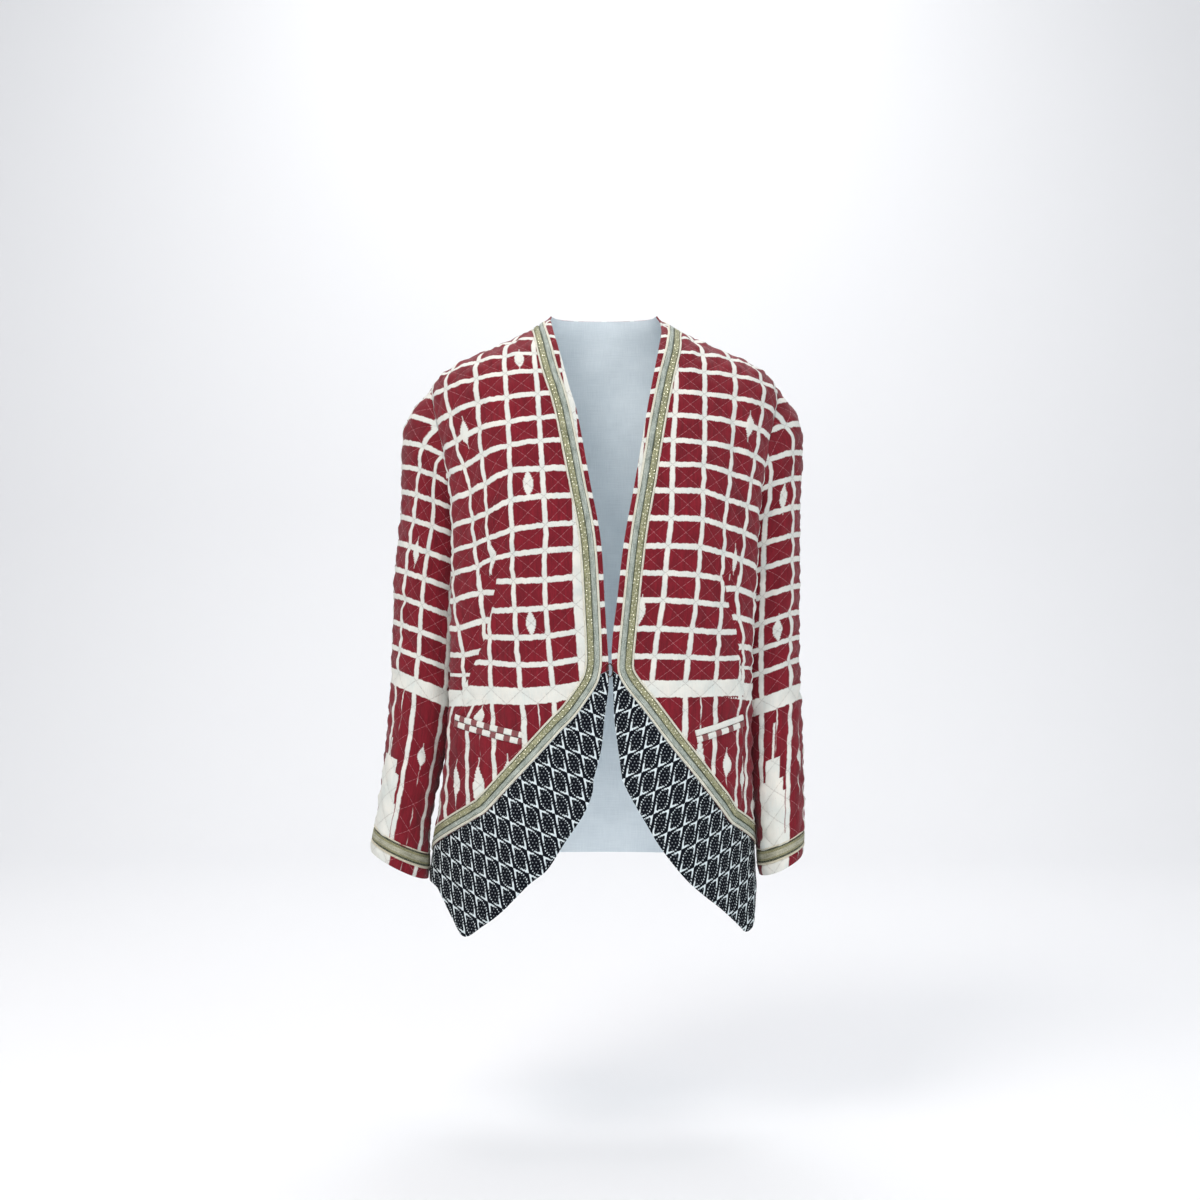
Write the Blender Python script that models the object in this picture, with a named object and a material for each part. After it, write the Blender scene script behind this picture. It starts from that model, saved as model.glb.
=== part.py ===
"""Patchwork jacket: quilted ikat cloth, worn open with one hook and eye, held in its worn shape.

Units are metres, +Z up, the front faces -Y and the wearer's left is +X. The origin lies at the
neck points, where the wearer's shoulders carry the jacket. Every wall is cut out of one of two
smooth surfaces, the body and a sleeve, in the cloth's own coordinates: across the cloth and up it.
"""

import math

import bmesh
import bpy
import numpy as np
from mathutils import Vector
from mathutils.geometry import delaunay_2d_cdt, intersect_line_line_2d

# Cloth and trim, in metres
WALL = 0.0024
PANEL_WALL = 0.0018
TRIM_THICKNESS = 0.0012
WELT_THICKNESS = 0.0022
SEAM_GAP = 0.0004
TRIM_LIFT = 0.0004
QUILT_ACROSS = 0.0355
QUILT_UP = 0.0305
QUILT_HEIGHT = 0.0011
QUILT_FADE = 0.007
# Below 1 a padded square is flatter on top and steeper at its stitches
QUILT_ROUNDNESS = 0.6
BRAID_WIDTH = 0.0190
CUFF_BRAID_WIDTH = 0.0190
CUFF_BELOW_BRAID = 0.0115
OUTLINE_STEP = 0.0170
POINT_CLEARANCE = 0.0055
PLAIN_STEP = 0.026
LINING_ACROSS = 0.75 * QUILT_ACROSS
LINING_UP = 0.75 * QUILT_UP

# Heights on the body
SHOULDER_TIP_Z = -0.062
UNDERARM_Z = -0.230
NECK_POINT_Z = 0.018
BACK_NECK_Z = 0.021
HOOK_Z = -0.400
SIDE_HEM_Z = -0.638
BRAID_OUTER_TOP_Z = 0.000
BRAID_INNER_TOP_Z = 0.010
BRAID_INNER_DROP = 0.009
BRAID_END_SLANT = 0.40
NECK_POINT_X = 0.066
SHOULDER_SLOPE = 0.36
NECK_STATIONS = 5
WELT_PARTS = 5
HOOK_X = 0.0063
HOOK_WIRE = 0.0014
HOOK_LOOP = 0.0034
HOOK_STRETCH = 2.2
HOOK_GAP_DEGREES = 35
HOOK_STATIONS = 15
STAND_OFF_FROM = 0.112
STAND_OFF_OVER = 0.050
HIGHEST_SECTION = 0.030
LOWEST_SECTION = -0.730
SECTION_STEP = 0.004
SECTION_PARTS = 96

# Level sections of the body's outer face, for the half at +X. The front and the back lie on the
# centre line, the cheek is at CHEEK of the way to the corner, and the side is the side seam.
CHEEK = 0.55
BODY_COLUMNS = "z front cheek_y corner_x corner_y side_x side_y blade_x blade_y back".split()
BODY_SECTIONS = (
    (0.030, -0.050, -0.044, 0.046, -0.030, 0.062, 0.006, 0.047, 0.044, 0.060),
    (0.012, -0.056, -0.050, 0.051, -0.034, 0.068, 0.007, 0.053, 0.050, 0.066),
    (0.000, -0.060, -0.055, 0.062, -0.038, 0.086, 0.008, 0.063, 0.056, 0.071),
    (-0.020, -0.070, -0.066, 0.096, -0.044, 0.130, 0.010, 0.097, 0.066, 0.080),
    (-0.040, -0.079, -0.077, 0.139, -0.048, 0.174, 0.012, 0.138, 0.074, 0.088),
    (-0.056, -0.085, -0.084, 0.165, -0.048, 0.197, 0.013, 0.162, 0.078, 0.094),
    (-0.074, -0.091, -0.090, 0.181, -0.047, 0.206, 0.014, 0.173, 0.081, 0.098),
    (-0.100, -0.097, -0.097, 0.186, -0.047, 0.204, 0.016, 0.174, 0.084, 0.102),
    (-0.140, -0.105, -0.106, 0.184, -0.050, 0.190, 0.018, 0.170, 0.086, 0.106),
    (-0.190, -0.111, -0.113, 0.179, -0.054, 0.162, 0.018, 0.155, 0.083, 0.107),
    (-0.230, -0.113, -0.115, 0.177, -0.055, 0.138, 0.018, 0.138, 0.078, 0.105),
    (-0.300, -0.110, -0.111, 0.176, -0.053, 0.133, 0.018, 0.132, 0.074, 0.098),
    (-0.400, -0.103, -0.102, 0.174, -0.050, 0.136, 0.018, 0.136, 0.070, 0.090),
    (-0.500, -0.108, -0.106, 0.174, -0.048, 0.150, 0.020, 0.150, 0.076, 0.100),
    (-0.580, -0.114, -0.111, 0.176, -0.046, 0.164, 0.020, 0.158, 0.082, 0.110),
    (-0.640, -0.117, -0.114, 0.177, -0.046, 0.171, 0.020, 0.164, 0.086, 0.114),
    (-0.730, -0.120, -0.116, 0.179, -0.046, 0.174, 0.020, 0.166, 0.088, 0.116),
)
# How much wider the body hangs on each side than in the sections above
WIDENING_COLUMNS = "z right left".split()
WIDENING = (
    (0.030, 1.000, 1.000),
    (-0.300, 1.000, 1.000),
    (-0.380, 1.015, 0.982),
    (-0.440, 1.030, 0.978),
    (-0.550, 1.070, 0.974),
    (-0.640, 1.125, 0.980),
    (-0.730, 1.140, 1.000),
)

# The armhole: a height, and the distance round the body from the side seam's line to the seam of
# the sleeve on the front and on the back
ARMHOLE = (
    (SHOULDER_TIP_Z, 0.000, 0.000),
    (-0.078, 0.021, 0.016),
    (-0.100, 0.038, 0.029),
    (-0.135, 0.052, 0.042),
    (-0.170, 0.056, 0.046),
    (-0.198, 0.046, 0.038),
    (-0.217, 0.028, 0.023),
    (-0.227, 0.013, 0.011),
    (UNDERARM_Z, 0.000, 0.000),
)

# Front edges as seen from the front, x and z from the neck down: the opening and the braid's
# middle line
OPENING = {
    "right": (
        (-0.0592, -0.008), (-0.0483, -0.046), (-0.0390, -0.081), (-0.0301, -0.111),
        (-0.0163, -0.186), (-0.0039, -0.2535), (0.0008, -0.328), (0.0044, -0.384),
        (0.0050, -0.4180), (0.0000, -0.4560), (-0.0034, -0.4890), (-0.0122, -0.5230),
    ),
    "left": (
        (0.0675, -0.004), (0.0622, -0.034), (0.0550, -0.070), (0.0485, -0.105),
        (0.0346, -0.186), (0.0223, -0.2535), (0.0146, -0.319), (0.0084, -0.375),
        (0.0100, -0.4200), (0.0115, -0.4560), (0.0158, -0.4900), (0.0203, -0.5235),
    ),
}
BRAID_LINE = {
    "right": (
        (-0.0776, 0.005), (-0.0700, -0.026), (-0.0619, -0.058), (-0.0522, -0.088),
        (-0.0449, -0.117), (-0.0313, -0.186), (-0.0191, -0.2535), (-0.0135, -0.343),
        (-0.0120, -0.385), (-0.0134, -0.4010), (-0.0185, -0.415), (-0.0392, -0.4446),
        (-0.0552, -0.461), (-0.0817, -0.490), (-0.1135, -0.5247), (-0.1400, -0.555),
    ),
    "left": (
        (0.0830, 0.003), (0.0800, -0.028), (0.0759, -0.047), (0.0702, -0.070),
        (0.0608, -0.117), (0.0493, -0.186), (0.0380, -0.2535), (0.0285, -0.3435),
        (0.0246, -0.386), (0.0250, -0.4010), (0.0331, -0.4155), (0.0534, -0.4408),
        (0.0812, -0.478), (0.1113, -0.516), (0.1340, -0.547), (0.1490, -0.568),
    ),
}
# The free edge of each cutaway panel, from the opening down and round its point to the side
PANEL_EDGE = {
    "right": (
        (-0.0135, -0.538), (-0.0236, -0.562), (-0.0439, -0.592), (-0.0639, -0.6225),
        (-0.0845, -0.639), (-0.1170, -0.672), (-0.1395, -0.690), (-0.1540, -0.7015),
        (-0.1610, -0.7025), (-0.1665, -0.6970), (-0.1840, -0.6680), (-0.1935, -0.6530),
    ),
    "left": (
        (0.0308, -0.544), (0.0450, -0.568), (0.0632, -0.598), (0.0895, -0.631),
        (0.1125, -0.653), (0.1330, -0.6705), (0.1535, -0.6915), (0.1630, -0.7020),
        (0.1700, -0.7010), (0.1740, -0.6960), (0.1765, -0.6800), (0.1775, -0.6640),
    ),
}
BRAID_END_Z = {"right": -0.628, "left": -0.622}

# Slanted pocket welts, as seen from the front: the outer and the inner end of the slot
POCKET_SLOT = {
    "right": ((-0.1720, -0.4590), (-0.0925, -0.4765)),
    "left": ((0.1600, -0.4590), (0.1035, -0.4750)),
}
WELT_WIDTH = 0.0068

# Where the cloth's lattice of stitching starts on each piece, and how it leans with the cut
LATTICE = {
    "right": {"across": -0.0297, "up": -0.394, "lean": -0.024},
    "left": {"across": 0.0260, "up": -0.386, "lean": 0.075},
    "back": {"across": 0.0, "up": -0.394, "lean": 0.0},
    "sleeve": {"across": 0.0178, "up": 0.0, "lean": 0.0},
}
# Above this height the cloth leans back over the shoulder, so it is longer than it looks
LEAN_FROM_Z = -0.120
LEAN_GAIN = 0.30

# Rings of each sleeve's outer face, from the cap down to the hem, for the side's own outer
# direction. The tilt lifts the outer side of a ring, in degrees.
RING_COLUMNS = "x y z half_width half_depth tilt".split()
SLEEVE_RINGS = {
    "right": (
        (0.1955, 0.026, -0.174, 0.0745, 0.0500, 54.0),
        (0.1965, 0.032, -0.226, 0.0500, 0.0520, 18.0),
        (0.2050, 0.033, -0.300, 0.0475, 0.0510, 5.0),
        (0.2100, 0.028, -0.380, 0.0445, 0.0490, 2.0),
        (0.2175, 0.012, -0.460, 0.0390, 0.0460, 2.0),
        (0.2285, -0.006, -0.530, 0.0330, 0.0430, 6.0),
        (0.2360, -0.018, -0.580, 0.0315, 0.0400, 14.0),
        (0.2390, -0.030, -0.6295, 0.0380, 0.0370, 26.0),
    ),
    "left": (
        (0.1935, 0.026, -0.174, 0.0735, 0.0500, 54.0),
        (0.1915, 0.031, -0.226, 0.0455, 0.0500, 15.0),
        (0.1910, 0.032, -0.300, 0.0445, 0.0490, 4.0),
        (0.1920, 0.028, -0.380, 0.0425, 0.0480, 0.0),
        (0.1975, 0.012, -0.460, 0.0380, 0.0460, 0.0),
        (0.2030, -0.006, -0.530, 0.0325, 0.0430, 3.0),
        (0.2065, -0.018, -0.580, 0.0285, 0.0420, 12.0),
        (0.2068, -0.030, -0.6290, 0.0287, 0.0410, 26.0),
    ),
}
SLEEVE_COLUMNS_ROUND = 48
# The largest soft folds of each piece: the middle in the cloth's coordinates, its length and
# width, its direction in degrees from across, and how far it stands out or sinks in.
FOLD_COLUMNS = "u v length width direction depth".split()
FOLDS = {
    "front_right": (
        (-0.158, -0.150, 0.110, 0.020, 78, -0.0030),
        (-0.128, -0.235, 0.090, 0.022, 55, 0.0022),
        (-0.150, -0.370, 0.120, 0.018, 82, -0.0026),
        (-0.085, -0.400, 0.070, 0.020, 35, -0.0018),
        (-0.150, -0.545, 0.090, 0.020, 100, 0.0022),
    ),
    "front_left": (
        (0.160, -0.160, 0.105, 0.020, 100, -0.0030),
        (0.128, -0.250, 0.080, 0.022, 128, 0.0020),
        (0.152, -0.360, 0.110, 0.018, 96, -0.0024),
        (0.090, -0.395, 0.060, 0.020, 148, -0.0016),
        (0.150, -0.520, 0.080, 0.020, 82, 0.0020),
    ),
    "back": (
        (-0.120, -0.190, 0.130, 0.024, 70, -0.0030),
        (0.125, -0.200, 0.120, 0.024, 112, -0.0028),
        (-0.050, -0.390, 0.140, 0.022, 4, -0.0030),
        (0.060, -0.415, 0.120, 0.022, 175, -0.0026),
        (-0.070, -0.540, 0.150, 0.026, 86, 0.0034),
        (0.080, -0.550, 0.140, 0.026, 95, 0.0030),
    ),
    "sleeve_right": (
        (0.035, 0.300, 0.070, 0.014, 20, -0.0026),
        (0.055, 0.255, 0.080, 0.014, -12, -0.0030),
        (0.020, 0.210, 0.060, 0.013, 15, -0.0020),
        (-0.060, 0.270, 0.080, 0.016, 8, -0.0028),
        (0.040, 0.440, 0.080, 0.018, 60, -0.0022),
        (-0.050, 0.430, 0.090, 0.018, -58, -0.0024),
    ),
    "sleeve_left": (
        (0.040, 0.290, 0.070, 0.014, -18, -0.0024),
        (0.050, 0.240, 0.080, 0.014, 14, -0.0028),
        (0.025, 0.190, 0.055, 0.013, -10, -0.0018),
        (-0.055, 0.260, 0.080, 0.016, -6, -0.0026),
        (0.040, 0.450, 0.080, 0.018, -60, -0.0022),
        (-0.050, 0.435, 0.090, 0.018, 56, -0.0022),
    ),
}
LOOP_STATIONS = 13
# Where the sleeve passes back under the arm it starts this far outside the body's wall
UNDERARM_STAND_OFF = 0.0078

# Side factor: the wearer's right lies at -X
SIDES = {"right": -1, "left": 1}

COLOURS = {
    "cloth": (0.30, 0.012, 0.025),
    "navy": (0.012, 0.016, 0.035),
    "braid": (0.32, 0.31, 0.22),
    "welt": (0.72, 0.64, 0.58),
    "steel": (0.10, 0.10, 0.11),
}


# Curves and surfaces


def catmull_rom(points, parts, before=None, after=None):
    """A smooth curve through the points, with this many parts to each span."""
    points = np.asarray(points, float)
    first = 2 * points[0] - points[1] if before is None else np.asarray(before, float)
    last = 2 * points[-1] - points[-2] if after is None else np.asarray(after, float)
    padded = np.concatenate([[first], points, [last]])
    t = np.linspace(0, 1, parts, endpoint=False).reshape((-1,) + (1,) * (points.ndim - 1))
    spans = []
    for a, b, c, d in zip(padded, padded[1:], padded[2:], padded[3:]):
        cubic = 2 * b + (c - a) * t
        cubic = cubic + (2 * a - 5 * b + 4 * c - d) * t**2
        spans.append((cubic + (3 * b - a - 3 * c + d) * t**3) / 2)
    return np.concatenate(spans + [points[-1:]])


def lengths_along(points):
    """The distance along a line of points, from its first one."""
    return np.concatenate([[0], np.cumsum(np.linalg.norm(np.diff(points, axis=0), axis=1))])


def spaced(points, parts):
    """The same line, as this many equal parts."""
    along = lengths_along(points)
    wanted = np.linspace(0, along[-1], parts + 1)
    return np.column_stack([np.interp(wanted, along, column) for column in np.transpose(points)])


def spaced_by(points, step):
    return spaced(points, max(1, round(lengths_along(points)[-1] / step)))


def smooth_table(rows, columns, at):
    """Each column of a table, as a smooth function of its first column, at these values."""
    table = np.array(rows, float)
    order = np.argsort(table[:, 0])
    table = table[order]
    key = table[:, 0]
    at = np.clip(at, key[0], key[-1])
    span = np.clip(np.searchsorted(key, at, side="right") - 1, 0, len(key) - 2)
    width = key[span + 1] - key[span]
    t = (at - key[span]) / width
    found = {columns[0]: at}
    for name, values in zip(columns[1:], table[:, 1:].T):
        slope = np.gradient(values, key)
        a, b = values[span], values[span + 1]
        start, end = slope[span] * width, slope[span + 1] * width
        cubic = (2 * t**3 - 3 * t**2 + 1) * a + (t**3 - 2 * t**2 + t) * start
        found[name] = cubic + (3 * t**2 - 2 * t**3) * b + (t**3 - t**2) * end
    return found


def half_section(row, widening):
    """One level section from the centre front round to the centre back, at +X, and its side."""
    corner_x = row["corner_x"] * widening
    points = [
        (0, row["front"]),
        (corner_x * CHEEK, row["cheek_y"]),
        (corner_x, row["corner_y"]),
        (row["side_x"] * widening, row["side_y"]),
        (row["blade_x"] * widening, row["blade_y"]),
        (0, row["back"]),
    ]
    mirror = np.array([-1, 1])
    parts = 12
    curve = catmull_rom(points, parts, before=points[1] * mirror, after=points[-2] * mirror)
    side_index = 3 * parts
    return spaced(curve, SECTION_PARTS), lengths_along(curve)[[side_index, -1]]


class Body:
    """The body's outer face. A point on it is s, the distance round from the centre front with
    the wearer's left positive, and z, its height."""

    def __init__(self):
        count = round((HIGHEST_SECTION - LOWEST_SECTION) / SECTION_STEP)
        self.levels = np.linspace(HIGHEST_SECTION, LOWEST_SECTION, count + 1)
        rows = smooth_table(BODY_SECTIONS, BODY_COLUMNS, self.levels)
        widening = smooth_table(WIDENING, WIDENING_COLUMNS, self.levels)
        self.halves = {}
        self.side_at = {}
        self.round_half = {}
        for side in SIDES:
            sections, marks = [], []
            for i in range(len(self.levels)):
                row = {name: values[i] for name, values in rows.items()}
                section, mark = half_section(row, widening[side][i])
                sections.append(section)
                marks.append(mark)
            self.halves[side] = np.array(sections)
            self.side_at[side], self.round_half[side] = np.transpose(marks)

    def at_level(self, values, z):
        return np.interp(-np.asarray(z), -self.levels, values)

    def side_seam(self, side, z):
        """How far round the side seam is from the centre front."""
        return self.at_level(self.side_at[side], z)

    def half_round(self, side, z):
        return self.at_level(self.round_half[side], z)

    def point(self, s, z):
        s, z = np.broadcast_arrays(np.asarray(s, float), np.asarray(z, float))
        found = np.empty(s.shape + (3,))
        row = np.clip((HIGHEST_SECTION - z) / SECTION_STEP, 0, len(self.levels) - 1.001)
        upper = row.astype(int)
        down = (row - upper)[..., None]
        for side, sign in SIDES.items():
            here = (s >= 0) if sign > 0 else (s < 0)
            along = np.abs(s) / self.half_round(side, z) * SECTION_PARTS
            along = np.clip(along, 0, SECTION_PARTS - 0.001)
            left = along.astype(int)
            across = (along - left)[..., None]
            grid = self.halves[side]
            above = grid[upper, left] * (1 - across) + grid[upper, left + 1] * across
            below = grid[upper + 1, left] * (1 - across) + grid[upper + 1, left + 1] * across
            flat = above * (1 - down) + below * down
            found[here, 0] = sign * flat[here, 0]
            found[here, 1] = flat[here, 1]
        found[..., 2] = z
        return found

    def seen_at(self, x, z):
        """How far round the point is that is seen from the front at this x."""
        side = "left" if x >= 0 else "right"
        row = int(round((HIGHEST_SECTION - z) / SECTION_STEP))
        section = self.halves[side][min(row, len(self.levels) - 1)]
        widest = int(np.argmax(section[: SECTION_PARTS // 2, 0]))
        part = np.interp(abs(x), section[: widest + 1, 0], np.arange(widest + 1))
        return math.copysign(part / SECTION_PARTS * float(self.half_round(side, z)), x)


def cloth_height(z):
    """The height of a point on the body along the cloth, which leans back at the shoulder."""
    above = np.maximum(np.asarray(z, float) - LEAN_FROM_Z, 0)
    return z + LEAN_GAIN * above**2 / (-2 * LEAN_FROM_Z)


def body_height(v):
    levels = np.linspace(LOWEST_SECTION, HIGHEST_SECTION, 400)
    return np.interp(v, cloth_height(levels), levels)


def front_surface(body):
    """From the cloth's own coordinates on a front to a point."""
    return lambda uv: body.point(uv[:, 0], body_height(uv[:, 1]))


def back_surface(body):
    """The same for the back, where across the cloth is counted from the centre back."""

    def point(uv):
        u, z = uv[:, 0], body_height(uv[:, 1])
        half = np.where(u >= 0, body.half_round("left", z), body.half_round("right", z))
        return body.point(np.where(u >= 0, half - u, -half - u), z)

    return point


def normals_of(surface, uv, outward_from, step=0.0008):
    """Unit normals of a surface, turned away from the middle points that outward_from gives."""
    across = surface(uv + [step, 0]) - surface(uv - [step, 0])
    upward = surface(uv + [0, step]) - surface(uv - [0, step])
    normal = np.cross(across, upward)
    normal /= np.linalg.norm(normal, axis=1)[:, None] + 1e-12
    points = surface(uv)
    inward = np.sum(normal * (points - outward_from(points)), axis=1) < 0
    normal[inward] *= -1
    return normal


def body_middle(points):
    """The middle line of the body, below the shoulders, which its outer face turns away from."""
    middle = points * [0.75, 0, 1]
    middle[:, 1] = 0.01
    middle[:, 2] = np.minimum(points[:, 2], points[:, 2] - 0.6 * np.maximum(points[:, 2] + 0.10, 0))
    return middle


class Sleeve:
    """A sleeve's outer face, as rings from the armhole to the hem. A point on it is u, the
    distance round from the outer line with the front positive, and v, the height above the hem."""

    def __init__(self, side, loop):
        sign = SIDES[side]
        fractions = np.linspace(-0.5, 0.5, SLEEVE_COLUMNS_ROUND + 1)
        rings = [loop(fractions)]
        for row in SLEEVE_RINGS[side]:
            ring = dict(zip(RING_COLUMNS, row))
            angle = np.linspace(-math.pi, math.pi, 361)
            outward = ring["half_width"] * np.cos(angle)
            forward = -ring["half_depth"] * np.sin(angle)
            tilt = math.radians(ring["tilt"])
            oval = np.column_stack([
                sign * (ring["x"] + outward * math.cos(tilt)),
                ring["y"] + forward,
                ring["z"] + outward * math.sin(tilt),
            ])
            half = SLEEVE_COLUMNS_ROUND // 2
            back, front = spaced(oval[:181], half), spaced(oval[180:], half)
            rings.append(np.concatenate([back, front[1:]]))
        self.fractions = fractions
        self.paths = catmull_rom(np.array(rings), 10)
        self.centres = self.paths.mean(axis=1)
        steps = np.linalg.norm(np.diff(self.paths[::-1], axis=0), axis=2)
        self.heights = np.concatenate([np.zeros((1, steps.shape[1])), np.cumsum(steps, axis=0)])[::-1]
        round_each = np.linalg.norm(np.diff(self.paths, axis=1), axis=2).sum(axis=1)
        middle_height = self.heights[:, SLEEVE_COLUMNS_ROUND // 4]
        widest = int(np.argmax(middle_height < self.heights[0].min()))
        round_each[:widest] = round_each[widest]
        self.round_heights = middle_height[::-1]
        self.rounds = round_each[::-1]

    def round_at(self, v):
        return np.interp(v, self.round_heights, self.rounds)

    def top(self, fraction):
        """The height of the armhole seam above the hem at this fraction of the way round."""
        return np.interp(fraction, self.fractions, self.heights[0])

    def point(self, uv):
        u, v = uv[:, 0], uv[:, 1]
        fraction = np.clip(u / self.round_at(v), -0.5, 0.5)
        along = (fraction + 0.5) * SLEEVE_COLUMNS_ROUND
        left = np.clip(along.astype(int), 0, SLEEVE_COLUMNS_ROUND - 1)
        part = along - left
        columns = np.empty((SLEEVE_COLUMNS_ROUND + 1, len(u), 3))
        for j in range(SLEEVE_COLUMNS_ROUND + 1):
            for axis in range(3):
                columns[j, :, axis] = np.interp(v, self.heights[::-1, j], self.paths[::-1, j, axis])
        each = np.arange(len(u))
        return columns[left, each] * (1 - part)[:, None] + columns[left + 1, each] * part[:, None]

    def middle(self, points):
        nearest = np.argmin(np.linalg.norm(points[:, None] - self.centres[None], axis=2), axis=1)
        return self.centres[nearest]


# Panels cut in the cloth's coordinates


def inside(outline, points):
    """Which points lie inside a closed outline."""
    found = np.zeros(len(points), bool)
    following = np.roll(outline, -1, axis=0)
    for (ax, ay), (bx, by) in zip(outline, following):
        if ay == by:
            continue
        crosses = (ay > points[:, 1]) != (by > points[:, 1])
        at = ax + (points[:, 1] - ay) / (by - ay) * (bx - ax)
        found ^= crosses & (points[:, 0] < at)
    return found


def distance_to(lines, points):
    """The distance of each point to the nearest of some lines."""
    nearest = np.full(len(points), np.inf)
    for line in lines:
        for start, end in zip(line, line[1:]):
            along = end - start
            t = np.clip((points - start) @ along / max(along @ along, 1e-18), 0, 1)
            away = np.linalg.norm(points - start - t[:, None] * along, axis=1)
            nearest = np.minimum(nearest, away)
    return nearest


def crosses_a_line(start, end, lines):
    return any(
        intersect_line_line_2d(start, end, a, b) is not None
        for line in lines
        for a, b in zip(line, line[1:])
    )


def lattice_points(outline, lattice, across, up):
    """The lattice's points in an outline's box, with their whole-number places."""
    low, high = outline.min(axis=0), outline.max(axis=0)
    lean = lattice["lean"]
    reach = abs(lean) * (high[1] - low[1]) + across
    i = np.arange(
        math.floor((low[0] - reach - lattice["across"]) / across),
        math.ceil((high[0] + reach - lattice["across"]) / across) + 1,
    )
    j = np.arange(
        math.floor((low[1] - lattice["up"]) / up), math.ceil((high[1] - lattice["up"]) / up) + 1
    )
    place = np.array([(a, b) for b in j for a in i])
    v = lattice["up"] + place[:, 1] * up
    u = lattice["across"] + place[:, 0] * across + lean * (v - lattice["up"])
    return np.column_stack([u, v]), place


def fold_lift(folds, uv):
    """How far the folds move each point out of its surface."""
    lift = np.zeros(len(uv))
    for row in folds:
        fold = dict(zip(FOLD_COLUMNS, row))
        turn = math.radians(fold["direction"])
        away = uv - [fold["u"], fold["v"]]
        along = away @ [math.cos(turn), math.sin(turn)] / (fold["length"] / 2)
        across = away @ [-math.sin(turn), math.cos(turn)] / (fold["width"] / 2)
        lift += fold["depth"] * np.exp(-(across**2)) * np.exp(-(along**4))
    return lift


class Panel:
    """A piece of cloth: its outline, lines drawn on it, and its two triangulated faces."""

    def __init__(self, surface, middle, outline, lines=(), lattice=None, plain=(), folds=()):
        self.surface = surface
        self.middle = middle
        self.outline = outline
        closed = np.concatenate([outline, outline[:1]])
        self.borders = [closed, *lines]
        self.plain = plain
        self.folds = folds
        self.lattice = lattice
        if lattice:
            self.uv, self.faces = self.cut(lattice, QUILT_ACROSS / 2, QUILT_UP / 2, self.borders, True)
            self.lining_uv, self.lining = self.cut(lattice, LINING_ACROSS, LINING_UP, [closed], False)
        else:
            spare = {"across": 0.0, "up": 0.0, "lean": 0.0}
            self.uv, self.faces = self.cut(spare, PLAIN_STEP, PLAIN_STEP, self.borders, False)
            self.lining_uv, self.lining = self.uv, self.faces

    def cut(self, lattice, across, up, borders, stitched):
        points, place = lattice_points(self.outline, lattice, across, up)
        keep = inside(self.outline, points) & (distance_to(borders, points) > POINT_CLEARANCE)
        points, place = points[keep], place[keep]
        coordinates, edges, seen = [], [], {}

        def number(point):
            key = tuple(np.round(point, 7))
            if key not in seen:
                seen[key] = len(coordinates)
                coordinates.append(Vector(point))
            return seen[key]

        for line in borders:
            numbers = [number(point) for point in line]
            edges += list(zip(numbers, numbers[1:]))
        index = {tuple(at): number(point) for point, at in zip(points, place)}
        if stitched:
            for (i, j), a in index.items():
                for side in (-1, 1):
                    b = index.get((i + side, j + 1))
                    if (i + j) % 2 == 0 and b is not None:
                        if not crosses_a_line(coordinates[a], coordinates[b], borders):
                            edges.append((a, b))
        found = delaunay_2d_cdt(coordinates, edges, [], 0, 1e-7)
        uv = np.array([tuple(vert) for vert in found[0]])
        faces = np.array([face for face in found[2] if len(face) == 3])
        centres = uv[faces].mean(axis=1)
        return uv, faces[inside(self.outline, centres)]

    def relief(self, uv):
        """How far the padding between the stitches stands out."""
        if not self.lattice:
            return np.zeros(len(uv))
        v = (uv[:, 1] - self.lattice["up"]) / QUILT_UP
        u = uv[:, 0] - self.lattice["across"] - self.lattice["lean"] * (uv[:, 1] - self.lattice["up"])
        u = u / QUILT_ACROSS
        height = np.abs(np.sin(math.pi * (u + v)) * np.sin(math.pi * (u - v))) ** QUILT_ROUNDNESS
        away = distance_to(self.borders, uv)
        height = height * np.clip(away / QUILT_FADE, 0, 1)
        for region in self.plain:
            height[inside(region, uv)] = 0
        return height * QUILT_HEIGHT

    def at(self, uv, lift):
        normal = normals_of(self.surface, uv, self.middle)
        return self.surface(uv) + normal * np.reshape(lift + fold_lift(self.folds, uv), (-1, 1))


def boundary_edges(faces):
    """The directed edges that only one face has."""
    directed = {(a, b) for face in faces for a, b in zip(face, np.roll(face, -1))}
    return [(a, b) for a, b in directed if (b, a) not in directed]


def closed_solid(outer, outer_faces, inner, inner_faces, partner):
    """A mesh from two faces of a wall; partner gives each border point's place on the inner one."""
    shift = len(outer)
    faces = [tuple(face) for face in outer_faces]
    faces += [tuple(int(i) + shift for i in reversed(face)) for face in inner_faces]
    for a, b in boundary_edges(outer_faces):
        faces.append((b, a, partner[a] + shift))
        faces.append((b, partner[a] + shift, partner[b] + shift))
    return np.concatenate([outer, inner]), faces


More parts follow.
